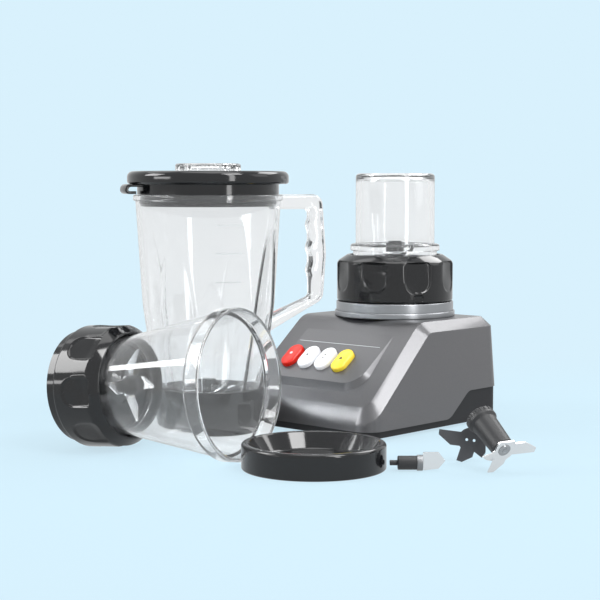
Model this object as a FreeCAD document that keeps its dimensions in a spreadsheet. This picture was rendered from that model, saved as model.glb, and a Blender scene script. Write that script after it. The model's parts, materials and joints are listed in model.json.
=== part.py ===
"""Countertop blender set: motor base with a dry mill on it, jug, lying chopper cup, its lid, loose blades.

Millimetres, +Z up, the motor base's console faces -Y. Sub-parts are drawn from the worktop at the
middle of the motor base, and finish() moves each by one shift to the middle of the whole set's outline.
Every sub-part reads its sizes from the sheet "Sizes".
"""
import FreeCAD
import Part
import math
import os
import re
import Sketcher
from FreeCAD import Placement, Rotation, Vector

SIZES = {
    # where the motor base's middle stands, from the middle of the whole set's outline
    "frame_x": -60.276, "frame_y": 104.263,
    # motor base: moulded housing over a black tray
    "base_width": 167.0, "base_depth": 190.0, "base_corner": 17.0, "base_wall": 3.0,
    "platform_height": 95.0, "housing_draft": 4.0, "edge_band": 8.5,
    "console_run": 83.0, "console_angle": 41.5, "console_bend": 22.0,
    "tray_lip": 8.5, "tray_rear_lip": 31.0, "lip_rise_start": 14.0, "lip_rise_end": 44.0,
    "tray_inset": 2.6, "tray_floor": 2.6, "foot_height": 2.4, "foot_radius": 8.0, "foot_margin": 16.0,
    "gland_x": -40.0, "gland_height": 18.0, "gland_radius": 5.8, "gland_bore": 3.2,
    # raised button panel on the console
    "panel_width": 102.0, "panel_start": 16.0, "panel_length": 63.0, "panel_corner": 17.0,
    "panel_rise": 5.0, "panel_skirt": 6.0,
    # push buttons
    "button_length": 26.0, "button_width": 15.5, "button_pitch": 20.0, "button_first": -41.0,
    "button_along": 41.0, "button_proud": 4.5, "button_travel": 3.0, "button_gap": 0.45,
    "stem_radius": 3.0, "stem_length": 6.0, "switch_width": 16.0, "switch_height": 12.0,
    # silver ring round the drive
    "drive_y": 38.0, "ring_radius": 55.5, "ring_step": 1.4, "ring_lower": 5.6, "ring_height": 13.5,
    "socket_radius": 46.4, "well_radius": 24.0,
    # motor
    "shaft_radius": 4.0, "shaft_bottom": 9.5, "bearing_radius": 8.0, "bearing_height": 7.0,
    "stack_width": 84.0, "stack_depth": 70.0, "stack_height": 34.0, "stack_bottom": 30.0,
    "stack_bore": 21.0, "air_gap": 0.6, "bracket_thick": 4.0, "bearing_drop": 16.0, "bearing_lift": 14.0,
    "bolt_span": 72.0, "bolt_radius": 2.0, "commutator_radius": 11.0, "commutator_height": 10.0,
    "fan_radius": 23.0, "fan_blade_height": 6.8, "coil_width": 7.4,
    "post_radius": 4.5, "post_margin": 26.0, "post_back": 27.0, "screw_radius": 1.6,
    "dog_radius": 11.0, "dog_height": 9.0, "dog_gap": 0.6, "dog_wall": 4.0,
    "dog_rest": 3.0, "dog_mesh": 0.6,
    # mill that stands on the base
    "seat_gap": 0.3, "mill_radius": 53.5, "mill_collar_height": 42.5, "mill_shoulder": 6.2,
    "mill_mouth": 42.0, "mill_turn": 18.0, "spigot_depth": 9.0, "spigot_wall": 2.6, "collar_groove": 2.2,
    "scallop_width": 26.0, "scallop_depth": 3.4, "scallop_bottom": 9.0, "scallop_count": 8.0,
    "mill_cup_radius": 36.4, "mill_cup_top": 117.0, "mill_cup_wall": 3.0, "mill_cup_top_wall": 5.8,
    "mill_flange": 41.2, "mill_flange_low": 46.0, "mill_flange_high": 52.2, "mill_neck": 38.8,
    "deck_height": 36.0, "deck_thick": 4.0, "seal_thick": 2.4,
    "dome_radius": 15.0, "dome_height": 7.0, "spindle_radius": 3.5, "bush_radius": 6.0,
    "blade_thick": 1.4, "mill_blade_reach": 25.0, "nut_radius": 8.2, "nut_height": 10.5,
    # jug
    "jar_x": -59.7, "jar_y": -143.1, "jar_turn": 63.0,
    "jar_collar_radius": 44.6, "jar_collar_height": 40.6, "jar_wall": 3.0,
    "jar_foot_radius": 38.0, "jar_low_radius": 47.5, "jar_mid_radius": 57.0, "jar_top_radius": 62.6,
    "jar_mid_height": 112.0, "jar_rim_height": 207.0, "jar_rim_radius": 64.6, "jar_rim_band": 5.4,
    "flute_radius": 36.0, "flute_lean": 8.5, "flute_top": 178.0,
    "handle_reach": 107.0, "handle_grip": 14.5, "handle_thick": 17.0, "handle_round": 4.0,
    "handle_drop": 99.0, "handle_arm": 13.0, "finger_bump": 2.2,
    # rises: the lid's skirt above the jug's rim, the lid above its skirt, the cap above the lid
    "lid_skirt_radius": 61.1, "lid_rim_radius": 69.6, "lid_skirt_rise": 9.0, "lid_rise": 11.0,
    "lid_plug_depth": 10.0, "lid_hole": 23.5, "lid_wall": 2.6, "lid_tab_reach": 79.0,
    "cap_radius": 28.3, "cap_rise": 6.6, "cap_rib": 1.1, "cap_rib_count": 24.0, "cap_depth": 26.0,
    "jar_blade_reach": 27.0,
    # chopper cup lying on its side
    "mouth_x": 61.6, "mouth_y": -224.1, "lying_turn": 12.0, "rim_round": 1.2, "foot_round": 2.0,
    "chop_radius": 50.0, "chop_collar_height": 42.0, "chop_shoulder": 7.0, "chop_mouth_ring": 43.5,
    "chop_length": 148.0, "chop_mouth_radius": 60.0, "chop_band": 14.5, "chop_neck_radius": 40.5,
    "chop_band_step": 2.6, "chop_wall": 2.8, "chop_blade_reach": 29.0,
    # chopper lid, flat on the worktop
    "dish_x": 119.4, "dish_y": -203.6, "dish_radius": 55.5, "dish_height": 20.0, "dish_wall": 5.0,
    "dish_floor": 7.0, "dish_bevel": 9.0,
    # blades and the loose pieces beside the base
    "hub_width": 16.0, "wing_width": 11.0, "wing_slope": 0.42,
    "loose_x": 240.0, "loose_y": -126.3, "loose_z": 19.43, "loose_rim_radius": 11.6, "loose_neck_radius": 8.6,
    "loose_length": 36.0, "loose_long_wing": 31.0, "loose_short_wing": 22.8,
    "spare_x": 189.7, "spare_y": -99.3, "spare_z": 16.518, "spare_disc_radius": 9.6, "spare_long_wing": 25.0,
    "spare_short_wing": 18.4,
    "small_x": 172.9, "small_y": -168.2, "small_radius": 5.3, "small_length": 14.5, "small_band": 4.5,
    "small_plate": 12.0, "small_plate_height": 14.0,
}

doc = FreeCAD.newDocument("BlenderSet")
sheet = doc.addObject("Spreadsheet::Sheet", "Sizes")
for row, (alias, number) in enumerate(SIZES.items(), start=1):
    sheet.set(f"A{row}", alias)
    sheet.set(f"B{row}", str(number))
    sheet.setAlias(f"B{row}", alias)
doc.recompute()

PARTS = []          # finished sub-parts, in the order they are made


# ---------------------------------------------------------------- sheet and sketch helpers

def bound(text):
    """Expression text with every size's name pointed at the sheet."""
    return re.sub(r"[a-z_]\w*", lambda m: "Sizes." + m.group() if m.group() in SIZES else m.group(), str(text))


def value(text):
    """Number that an expression on the sheet gives."""
    found = sheet.evalExpression(bound(text))
    return float(getattr(found, "Value", found))


def origin_plane(body, role):
    """The body's own origin plane or axis with this role."""
    return next(item for item in body.Origin.OriginFeatures if item.Role == role)


def sketch_on(body, role, name, lift="0"):
    """Empty sketch on one of the body's origin planes, lifted along the plane's normal."""
    sketch = body.newObject("Sketcher::SketchObject", name)
    sketch.AttachmentSupport = [(origin_plane(body, role), "")]
    sketch.MapMode = "FlatFace"
    sketch.setExpression("AttachmentOffset.Base.z", bound(lift))
    return sketch


def pin_point(sketch, geometry, position, corner):
    """Tie a point of the sketch to a pair of expressions."""
    for kind, text, number in (("DistanceX", corner[0], value(corner[0])), ("DistanceY", corner[1], value(corner[1]))):
        index = sketch.addConstraint(Sketcher.Constraint(kind, -1, 1, geometry, position, number))
        sketch.setExpression(f"Constraints[{index}]", bound(text))


def outline(sketch, corners, rounds=None):
    """Closed outline through corners given as expression pairs; rounds maps a corner to its radius."""
    rounds = rounds or {}
    points = [Vector(value(a), value(b), 0) for a, b in corners]
    count = len(points)
    starts, ends, arcs = list(points), list(points), {}
    for i, radius in rounds.items():
        before = (points[i] - points[i - 1]).normalize()
        after = (points[(i + 1) % count] - points[i]).normalize()
        half = before.getAngle(after) / 2
        reach = value(radius) * math.tan(half)
        first, last = points[i] - before * reach, points[i] + after * reach
        middle = points[i] + (after - before).normalize() * value(radius) * (1 / math.cos(half) - 1)
        ends[i], starts[i] = first, last
        # a sketch keeps its arcs anticlockwise, so a right turn's arc is drawn from its far end
        left = before.cross(after).z > 0
        arcs[i] = Part.Arc(first, middle, last) if left else Part.Arc(last, middle, first)
    lines = [sketch.addGeometry(Part.LineSegment(starts[i], ends[(i + 1) % count])) for i in range(count)]
    for i in range(count):
        line_in, line_out = lines[i - 1], lines[i]
        if i not in arcs:
            sketch.addConstraint(Sketcher.Constraint("Coincident", line_in, 2, line_out, 1))
            pin_point(sketch, line_out, 1, corners[i])
            continue
        arc = sketch.addGeometry(arcs[i])
        forward = arcs[i].StartPoint.distanceToPoint(ends[i]) < 1e-6
        near, far = (1, 2) if forward else (2, 1)
        sketch.addConstraint(Sketcher.Constraint("Tangent", line_in, 2, arc, near))
        sketch.addConstraint(Sketcher.Constraint("Tangent", arc, far, line_out, 1))
        radius = sketch.addConstraint(Sketcher.Constraint("Radius", arc, value(rounds[i])))
        sketch.setExpression(f"Constraints[{radius}]", bound(rounds[i]))
        corner = sketch.addGeometry(Part.Point(points[i]), True)
        sketch.addConstraint(Sketcher.Constraint("PointOnObject", corner, 1, line_in))
        sketch.addConstraint(Sketcher.Constraint("PointOnObject", corner, 1, line_out))
        pin_point(sketch, corner, 1, corners[i])
    return sketch


def ring(sketch, x, y, radius):
    """Circle bound to the sheet."""
    circle = sketch.addGeometry(Part.Circle(Vector(value(x), value(y), 0), Vector(0, 0, 1), value(radius)))
    index = sketch.addConstraint(Sketcher.Constraint("Radius", circle, value(radius)))
    sketch.setExpression(f"Constraints[{index}]", bound(radius))
    pin_point(sketch, circle, 3, (x, y))


def rectangle(width, depth, x="0", y="0"):
    """Corners of a rectangle about (x, y), anticlockwise."""
    signs = ((-1, -1), (1, -1), (1, 1), (-1, 1))
    return [(f"{x} + {a} * ({width}) / 2", f"{y} + {b} * ({depth}) / 2") for a, b in signs]


# ---------------------------------------------------------------- feature helpers

def new_body(name):
    return doc.addObject("PartDesign::Body", name)


def pad(body, sketch, length, taper=None, both_ways=False, reverse=False):
    """Pad of the sketch by an expression."""
    feature = body.newObject("PartDesign::Pad", "Pad")
    feature.Profile = sketch
    feature.setExpression("Length", bound(length))
    if taper is not None:
        feature.setExpression("TaperAngle", bound(taper))
    feature.SideType = "Symmetric" if both_ways else "One side"
    feature.Reversed = reverse
    return feature


def pocket(body, sketch, length=None, both_ways=False, reverse=False):
    """Cut along the sketch's normal; with no length it goes right through both ways."""
    doc.recompute()
    before = body.Shape.Volume
    feature = body.newObject("PartDesign::Pocket", "Pocket")
    feature.Profile = sketch
    feature.SideType = "Symmetric" if both_ways or length is None else "One side"
    feature.Reversed = reverse
    feature.setExpression("Length", bound(length or "2 * base_depth"))
    doc.recompute()
    if body.Shape.Volume > before - 1e-3:
        raise RuntimeError(f"{body.Name}: {sketch.Name} cuts nothing")
    return feature


def turned(body, corners, rounds=None, name="Profile"):
    """Solid of revolution about the body's Z axis from half-profile corners (radius, height)."""
    sketch = outline(sketch_on(body, "XZ_Plane", name), corners, rounds)
    feature = body.newObject("PartDesign::Revolution", "Turned")
    feature.Profile = sketch
    feature.ReferenceAxis = (sketch, ["V_Axis"])
    feature.Angle = 360.0
    return feature


def groove(body, corners, rounds=None, name="GrooveProfile"):
    """Cut of revolution about the body's Z axis."""
    doc.recompute()
    before = body.Shape.Volume
    sketch = outline(sketch_on(body, "XZ_Plane", name), corners, rounds)
    feature = body.newObject("PartDesign::Groove", "Grooved")
    feature.Profile = sketch
    feature.ReferenceAxis = (sketch, ["V_Axis"])
    feature.Angle = 360.0
    doc.recompute()
    if body.Shape.Volume > before - 1e-3:
        raise RuntimeError(f"{body.Name}: {sketch.Name} cuts nothing")
    return feature


def around(body, feature, count):
    """Polar pattern of one feature about the body's Z axis."""
    pattern = body.newObject("PartDesign::PolarPattern", "Around")
    pattern.Originals = [feature]
    pattern.Axis = (origin_plane(body, "Z_Axis"), [""])
    pattern.Angle = 360.0
    pattern.setExpression("Occurrences", bound(count))
    body.Tip = pattern
    return pattern


def edges_where(shape, test):
    """Names of the edges that pass a test on their shape."""
    return [f"Edge{i}" for i, edge in enumerate(shape.Edges, start=1) if test(edge)]


def soften(body, base, kind, size, test):
    """Fillet or chamfer on the edges of a feature that pass the test."""
    doc.recompute()
    feature = body.newObject("PartDesign::" + kind, kind)
    feature.Base = (base, edges_where(base.Shape, test))
    feature.setExpression("Radius" if kind == "Fillet" else "Size", bound(size))
    return feature


def place(item, spot=("0", "0", "0"), turn=None):
    """Placement bound to the sheet, with an optional rotation."""
    item.Placement = Placement(Vector(*(value(text) for text in spot)), turn or Rotation())
    for axis, text in zip("xyz", spot):
        item.setExpression(f"Placement.Base.{axis}", bound(text))
    return item


def finish(item, name):
    """Name a finished sub-part, shift it to the set's own origin and list it for writing."""
    item.Label = name
    known = {path.lstrip("."): text for path, text in item.ExpressionEngine}
    for axis in "xy":
        path = f"Placement.Base.{axis}"
        start = known.get(path, repr(getattr(item.Placement.Base, axis)))
        item.setExpression(path, f"{start} + Sizes.frame_{axis}")
    PARTS.append(item)
    return item


def cylinder(name, radius, height, spot, turn=None):
    """Part cylinder bound to the sheet."""
    item = doc.addObject("Part::Cylinder", name)
    item.setExpression("Radius", bound(radius))
    item.setExpression("Height", bound(height))
    return place(item, spot, turn)


def box(name, length, width, height, spot, turn=None):
    """Part box centred on the spot in X and Y, standing on it in Z."""
    item = doc.addObject("Part::Box", name)
    for side, text in (("Length", length), ("Width", width), ("Height", height)):
        item.setExpression(side, bound(text))
    corner = (f"{spot[0]} - ({length}) / 2", f"{spot[1]} - ({width}) / 2", spot[2])
    return place(item, corner, turn)


def fused(name, items):
    """One object from several."""
    item = doc.addObject("Part::MultiFuse", name)
    item.Shapes = items
    item.Refine = True
    return item


def cut(name, base, tools):
    """Base less every tool."""
    item = doc.addObject("Part::Cut", name)
    item.Base = base
    item.Tool = tools[0] if len(tools) == 1 else fused(name + "Tools", tools)
    item.Refine = True
    return item


# ---------------------------------------------------------------- motor base

DRIVE = ("0", "drive_y")
FLOOR = "foot_height + tray_floor"
POSTS = ((-1, -1), (1, -1), (1, 1), (-1, 1))
# top of the switch block below the raised panel's face, and half its length
SWITCH_TOP = "1 - 2 * button_travel - stem_length + 1"
SWITCH_HALF = "(2 * button_pitch + 8)"
CONSOLE_TOP = "(console_run - base_depth / 2)" # where the console meets the platform, from the middle
CONSOLE_FAR = "base_depth"                    # how far the console plane is drawn past its foot


def base_form(name, inset):
    """Drafted rounded block with the console's slope, offset inwards by an inset."""
    body = new_body(name)
    plan = sketch_on(body, "XY_Plane", "Plan", "tray_lip")
    corner = f"base_corner - {inset}"
    outline(plan, rectangle(f"base_width - 2 * ({inset})", f"base_depth - 2 * ({inset})"), dict.fromkeys(range(4), corner))
    block = pad(body, plan, f"platform_height - tray_lip - {inset}", "-housing_draft")
    slope = sketch_on(body, "YZ_Plane", "Console")
    # the console plane moves inwards by the inset, at right angles to itself
    top = f"platform_height - {inset}"
    bend = f"{CONSOLE_TOP} + {inset} * tan(console_angle / 2)"
    outline(slope, [(f"{bend} - {CONSOLE_FAR}", f"{top} - {CONSOLE_FAR} * tan(console_angle)"),
                    (bend, top), ("base_depth", top), ("base_depth", "2 * platform_height"),
                    (f"{bend} - {CONSOLE_FAR}", "2 * platform_height")], {1: f"console_bend - {inset}"})
    pocket(body, slope)
    return body


def rim_edge(edge, inset):
    """True for an edge of a base form's top rim: platform sides and rear, console sides and front."""
    start, middle, last = edge.discretize(3)
    if min(start.z, last.z, middle.z) < value("tray_lip") + 1:
        return False
    angle = math.radians(value("console_angle"))
    bend = value(CONSOLE_TOP) + inset * math.tan(angle / 2)
    surface = value("platform_height") - inset + min(0, middle.y - bend) * math.tan(angle)
    surface -= 3 if abs(middle.y - bend) < value("console_bend") / 2 else 0
    crosses = abs(start.x + last.x) < 1e-3 and abs(start.y - last.y) < 1e-3 and abs(start.z - last.z) < 1e-3
    inside = crosses and abs(middle.y - bend) < value("console_bend")
    upright = abs(start.z - last.z) > 8 and start.distanceToPoint(last) < 1.01 * abs(start.z - last.z)
    return not inside and not upright and middle.z > surface - 1


def panel_plane(along, lift="0"):
    """Placement of the raised panel's own plane: X across, Y up the slope, Z out of it."""
    angle = value("console_angle") - math.degrees(math.atan2(value("panel_rise"), value("panel_length")))
    lean = math.radians(value("console_angle"))
    run = value("(platform_height - tray_rear_lip) / sin(console_angle)")
    # start of the panel, measured up the console from the height of the tray's rear lip
    up = value("panel_start") - run
    foot = Vector(0, value(CONSOLE_TOP) + up * math.cos(lean), value("platform_height") + up * math.sin(lean))
    raised = foot + Vector(0, -math.sin(lean), math.cos(lean)) * value("panel_rise")
    turn = Rotation(Vector(1, 0, 0), angle)
    offset = turn.multVec(Vector(0, value(along) - value("panel_start"), value(lift)))
    return Placement(raised + offset, turn)


def slot_outline(sketch, width, length):
    """Pill outline, long along Y."""
    straight = f"(({length}) - ({width})) / 2"
    half = value(f"({width}) / 2")
    rise = value(straight)
    left = sketch.addGeometry(Part.LineSegment(Vector(-half, rise, 0), Vector(-half, -rise, 0)))
    right = sketch.addGeometry(Part.LineSegment(Vector(half, -rise, 0), Vector(half, rise, 0)))
    low = sketch.addGeometry(Part.Arc(Vector(-half, -rise, 0), Vector(0, -rise - half, 0), Vector(half, -rise, 0)))
    high = sketch.addGeometry(Part.Arc(Vector(half, rise, 0), Vector(0, rise + half, 0), Vector(-half, rise, 0)))
    for first, last in (((left, 2), (low, 1)), ((low, 2), (right, 1)), ((right, 2), (high, 1)), ((high, 2), (left, 1))):
        sketch.addConstraint(Sketcher.Constraint("Tangent", *first, *last))
    pin_point(sketch, low, 3, ("0", f"-({straight})"))
    pin_point(sketch, high, 3, ("0", straight))
    index = sketch.addConstraint(Sketcher.Constraint("Radius", low, half))
    sketch.setExpression(f"Constraints[{index}]", bound(f"({width}) / 2"))
    return sketch


def pill(name, width, length, height, spot, top_round=None):
    """Pill-shaped block on the panel's plane."""
    body = new_body(name)
    block = pad(body, slot_outline(sketch_on(body, "XY_Plane", "Pill"), width, length), height)
    if top_round:
        doc.recompute()
        level = block.Shape.BoundBox.ZMax
        soften(body, block, "Fillet", top_round, lambda e: e.BoundBox.ZMin > level - 0.01)
    body.Placement = spot
    return body


def button_spot(index, lift="0"):
    """Placement of one button on the panel, counted from the left."""
    plane = panel_plane("button_along", lift)
    across = Vector(value(f"button_first + {index} * button_pitch"), 0, 0)
    return Placement(plane.Base + across, plane.Rotation)


def raised_panel():
    """Wedge that carries the buttons: proud of the console at its foot and flush at its top."""
    body = new_body("PanelForm")
    face = sketch_on(body, "XY_Plane", "Face")
    outline(face, rectangle("panel_width", "panel_length", "0", "panel_length / 2"), {0: "panel_corner", 1: "panel_corner"})
    pad(body, face, "panel_rise + panel_skirt", "45", reverse=True)
    body.Placement = panel_plane("panel_start")
    return body


def base_housing():
    """Silver-grey moulded shell: banded rim, raised panel, four button wells and the drive opening."""
    outer, inner = base_form("HousingOuter", "0"), base_form("HousingInner", "base_wall")
    doc.recompute()
    soften(outer, outer.Tip, "Chamfer", "edge_band", lambda edge: rim_edge(edge, 0))
    # the cavity's rim is banded too, so that the wall keeps its thickness behind the band
    soften(inner, inner.Tip, "Chamfer", "edge_band - 0.59 * base_wall", lambda edge: rim_edge(edge, value("base_wall")))
    lip = sketch_on(outer, "YZ_Plane", "LowerEdge")
    outline(lip, [("-base_depth", "-tray_lip"), ("base_depth", "-tray_lip"), ("base_depth", "tray_rear_lip"),
                  ("lip_rise_end", "tray_rear_lip"), ("lip_rise_start", "tray_lip"), ("-base_depth", "tray_lip")],
            {3: "tray_lip + 4", 4: "2 * tray_lip"})
    pocket(outer, lip)
    body = fused("HousingSolid", [outer, raised_panel()])
    wells = [pill(f"ButtonWell{i}", "button_width + 2 * button_gap", "button_length + 2 * button_gap",
                  "3 * panel_rise", button_spot(i, "-2.5 * panel_rise")) for i in range(4)]
    bore = cylinder("DriveOpening", "well_radius", "platform_height", (*DRIVE, "platform_height / 2"))
    below = box("Below", "2 * base_width", "2 * base_depth", "tray_lip", ("0", "0", "0"))
    shell = cut("HousingShell", body, [inner, bore, below, *wells])
    posts = []
    for i, (x, y) in enumerate(POSTS):
        across, along = f"{x} * (base_width / 2 - post_margin)", f"{y} * (base_depth / 2 - post_back)"
        # a rear post ends inside the platform's wall, a front one inside the sloping console's
        roof = "platform_height - base_wall / 2"
        if y < 0:
            roof += " + (post_back - console_run - post_radius) * tan(console_angle)"
        posts.append(cylinder(f"ScrewPost{i}", "post_radius", f"{roof} - ({FLOOR})", (across, along, FLOOR)))
    bosses = []
    for i, end in enumerate((-1, 1)):
        boss = doc.addObject("Part::Cylinder", f"SwitchBoss{i}")
        boss.setExpression("Radius", bound("stem_radius"))
        boss.setExpression("Height", bound("panel_rise"))
        seat = button_spot(1.5, SWITCH_TOP)
        boss.Placement = Placement(seat.Base + Vector(end * value(SWITCH_HALF + " - 4"), 0, 0), seat.Rotation)
        bosses.append(boss)
    pilots = [cylinder(f"PilotHole{i}", "screw_radius", "18",
                       (f"{x} * (base_width / 2 - post_margin)", f"{y} * (base_depth / 2 - post_back)", "0"))
              for i, (x, y) in enumerate(POSTS)]
    return finish(cut("BaseHousing", fused("HousingWithPosts", [shell, *posts, *bosses]), pilots), "base_housing")


def base_screws():
    """Four screws up through the tray's floor into the housing's posts."""
    screws = []
    for i, (x, y) in enumerate(POSTS):
        spot = (f"{x} * (base_width / 2 - post_margin)", f"{y} * (base_depth / 2 - post_back)")
        screws.append(cylinder(f"Screw{i}", "screw_radius", "15", (*spot, "foot_height - 1")))
        screws.append(cylinder(f"ScrewHead{i}", "2 * screw_radius", "1.8", (*spot, "foot_height - 1.8")))
    return finish(fused("Screws", screws), "base_screws")


def base_tray():
    """Black pan under the housing: upstand that rises at the rear, floor with vents and a gland hole."""
    body = new_body("BaseTray")
    plan = sketch_on(body, "XY_Plane", "Plan", "foot_height")
    side, depth = "base_width - 2 * tray_inset", "base_depth - 2 * tray_inset"
    outline(plan, rectangle(side, depth), dict.fromkeys(range(4), "base_corner - tray_inset"))
    pad(body, plan, "tray_rear_lip - foot_height")
    lip = sketch_on(body, "YZ_Plane", "UpperEdge")
    outline(lip, [("-base_depth", "tray_lip"), ("lip_rise_start", "tray_lip"), ("lip_rise_end", "tray_rear_lip"),
                  ("base_depth", "tray_rear_lip"), ("base_depth", "2 * tray_rear_lip"), ("-base_depth", "2 * tray_rear_lip")],
            {1: "2 * tray_lip", 2: "tray_lip + 4"})
    pocket(body, lip)
    inside = sketch_on(body, "XY_Plane", "Inside", "foot_height + tray_floor")
    outline(inside, rectangle(f"{side} - 2 * base_wall", f"{depth} - 2 * base_wall"),
            dict.fromkeys(range(4), "base_corner - tray_inset - base_wall"))
    pocket(body, inside, "2 * tray_rear_lip", reverse=True)
    vent = sketch_on(body, "XY_Plane", "Vent", "foot_height")
    outline(vent, rectangle("4", "34", "-27", "drive_y"))
    slit = pocket(body, vent, "2 * tray_floor", reverse=True)
    row = body.newObject("PartDesign::LinearPattern", "Vents")
    row.Originals = [slit]
    row.Direction = (origin_plane(body, "X_Axis"), [""])
    row.Length = 54.0
    row.Occurrences = 7
    body.Tip = row
    hole = cylinder("GlandHole", "gland_radius + 0.1", "20", ("gland_x", "base_depth / 2 + 5", "gland_height"),
                    Rotation(Vector(1, 0, 0), 90))
    holes = [cylinder(f"ScrewHole{i}", "screw_radius + 0.2", "4 * tray_floor",
                      (f"{x} * (base_width / 2 - post_margin)", f"{y} * (base_depth / 2 - post_back)", "0"))
             for i, (x, y) in enumerate(POSTS)]
    return finish(cut("Tray", body, [hole, *holes]), "base_tray")


def rubber_feet():
    """Four turned rubber feet under the tray."""
    feet = []
    for i, (x, y) in enumerate(((-1, -1), (1, -1), (1, 1), (-1, 1))):
        spot = (f"{x} * (base_width / 2 - foot_margin)", f"{y} * (base_depth / 2 - foot_margin)", "0")
        foot = doc.addObject("Part::Cone", f"Foot{i}")
        foot.setExpression("Radius1", bound("foot_radius - 1"))
        foot.setExpression("Radius2", bound("foot_radius"))
        foot.setExpression("Height", bound("foot_height"))
        feet.append(place(foot, spot))
    return finish(fused("Feet", feet), "rubber_feet")


def cord_gland():
    """Moulded gland in the tray's rear wall."""
    body = new_body("CordGland")
    turned(body, [("gland_bore", "0"), ("gland_radius + 2.7", "0"), ("gland_radius + 2.7", "2.4"),
                  ("gland_radius", "2.4"), ("gland_radius", "2.4 + base_wall"),
                  ("gland_radius + 2", "2.4 + base_wall"), ("gland_radius + 2", "4.4 + base_wall"),
                  ("gland_bore", "4.4 + base_wall")])
    place(body, ("gland_x", "base_depth / 2 - tray_inset + 2.4", "gland_height"), Rotation(Vector(1, 0, 0), 90))
    return finish(body, "cord_gland")


def collar_ring():
    """Satin silver two-tier ring that frames the drive socket."""
    body = new_body("CollarRing")
    turned(body, [("socket_radius", "0"), ("ring_radius", "0"), ("ring_radius", "ring_lower"),
                  ("ring_radius - ring_step", "ring_lower"), ("ring_radius - ring_step", "ring_height"),
                  ("socket_radius", "ring_height")], {1: "1.2", 2: "1.2", 4: "1", 5: "1"})
    return finish(place(body, (*DRIVE, "platform_height")), "collar_ring")


# ---------------------------------------------------------------- motor

def stator_stack():
    """Laminated stack with a round bore and two windows for the coils."""
    body = new_body("Stack")
    plan = sketch_on(body, "XY_Plane", "Lamination")
    outline(plan, rectangle("stack_width", "stack_depth"), dict.fromkeys(range(4), "8"))
    ring(plan, "0", "0", "stack_bore")
    for side in (-1, 1):
        outline(plan, rectangle("8", "stack_depth - 22", f"{side} * (stack_bore + 8)"))
        for end in (-1, 1):
            ring(plan, f"{side} * bolt_span / 2", f"{end} * (stack_depth / 2 - 6)", "bolt_radius + 0.2")
    pad(body, plan, "stack_height")
    return finish(place(body, (*DRIVE, "stack_bottom")), "stator_stack")


def field_coils():
    """Two wound coils, each through a window of the stack and over its ends."""
    coils = []
    for i, side in enumerate((-1, 1)):
        run = f"{side} * (stack_bore + 8)"
        coil = box(f"CoilBlock{i}", "coil_width", "stack_depth - 24", "stack_height + 10",
                   (run, "drive_y", "stack_bottom - 5"))
        coils.append(coil)
    return finish(fused("Coils", coils), "field_coils")


def bracket(name, label, level):
    """Cast bridge over the four bolts, with its bearing seat and a window on each side."""
    body = new_body(name)
    plan = sketch_on(body, "XY_Plane", "Bridge")
    outline(plan, rectangle("stack_width", "stack_depth"), dict.fromkeys(range(4), "8"))
    ring(plan, "0", "0", "bearing_radius")
    for side in (-1, 1):
        outline(plan, rectangle("16", "stack_depth - 24", f"{side} * (stack_bore + 4)"))
        for end in (-1, 1):
            ring(plan, f"{side} * bolt_span / 2", f"{end} * (stack_depth / 2 - 6)", "bolt_radius + 0.2")
    pad(body, plan, "bracket_thick")
    seat = sketch_on(body, "XY_Plane", "Seat")
    ring(seat, "0", "0", "bearing_radius + 3")
    ring(seat, "0", "0", "bearing_radius")
    pad(body, seat, "bearing_height")
    return finish(place(body, (*DRIVE, level)), label)


def bearing(name, label, level):
    """Sintered bush in its bracket."""
    body = new_body(name)
    turned(body, [("shaft_radius + 0.05", "0"), ("bearing_radius", "0"), ("bearing_radius", "bearing_height"),
                  ("shaft_radius + 0.05", "bearing_height")])
    return finish(place(body, (*DRIVE, level)), label)


BEARING_LOW = "stack_bottom - bearing_drop"
BRACKET_HIGH = "stack_bottom + stack_height + bearing_lift"


def motor_mounts():
    """Four bolts with spacers: tray floor, lower bracket, stack and upper bracket sit between them."""
    bolts = []
    spans = ((FLOOR, BEARING_LOW), (f"{BEARING_LOW} + bracket_thick", "stack_bottom"),
             ("stack_bottom + stack_height", BRACKET_HIGH),
             (f"{BRACKET_HIGH} + bracket_thick", f"{BRACKET_HIGH} + bracket_thick + 3"))
    for i, (x, y) in enumerate(POSTS):
        spot = (f"{x} * bolt_span / 2", f"drive_y + {y} * (stack_depth / 2 - 6)")
        bolts.append(cylinder(f"Bolt{i}", "bolt_radius", f"{BRACKET_HIGH} + bracket_thick + 1 - ({FLOOR})", (*spot, FLOOR)))
        for level, (low, high) in enumerate(spans):
            bolts.append(cylinder(f"Spacer{i}{level}", "2 * bolt_radius", f"{high} - ({low})", (*spot, low)))
    return finish(fused("Bolts", bolts), "motor_bolts")


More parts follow.
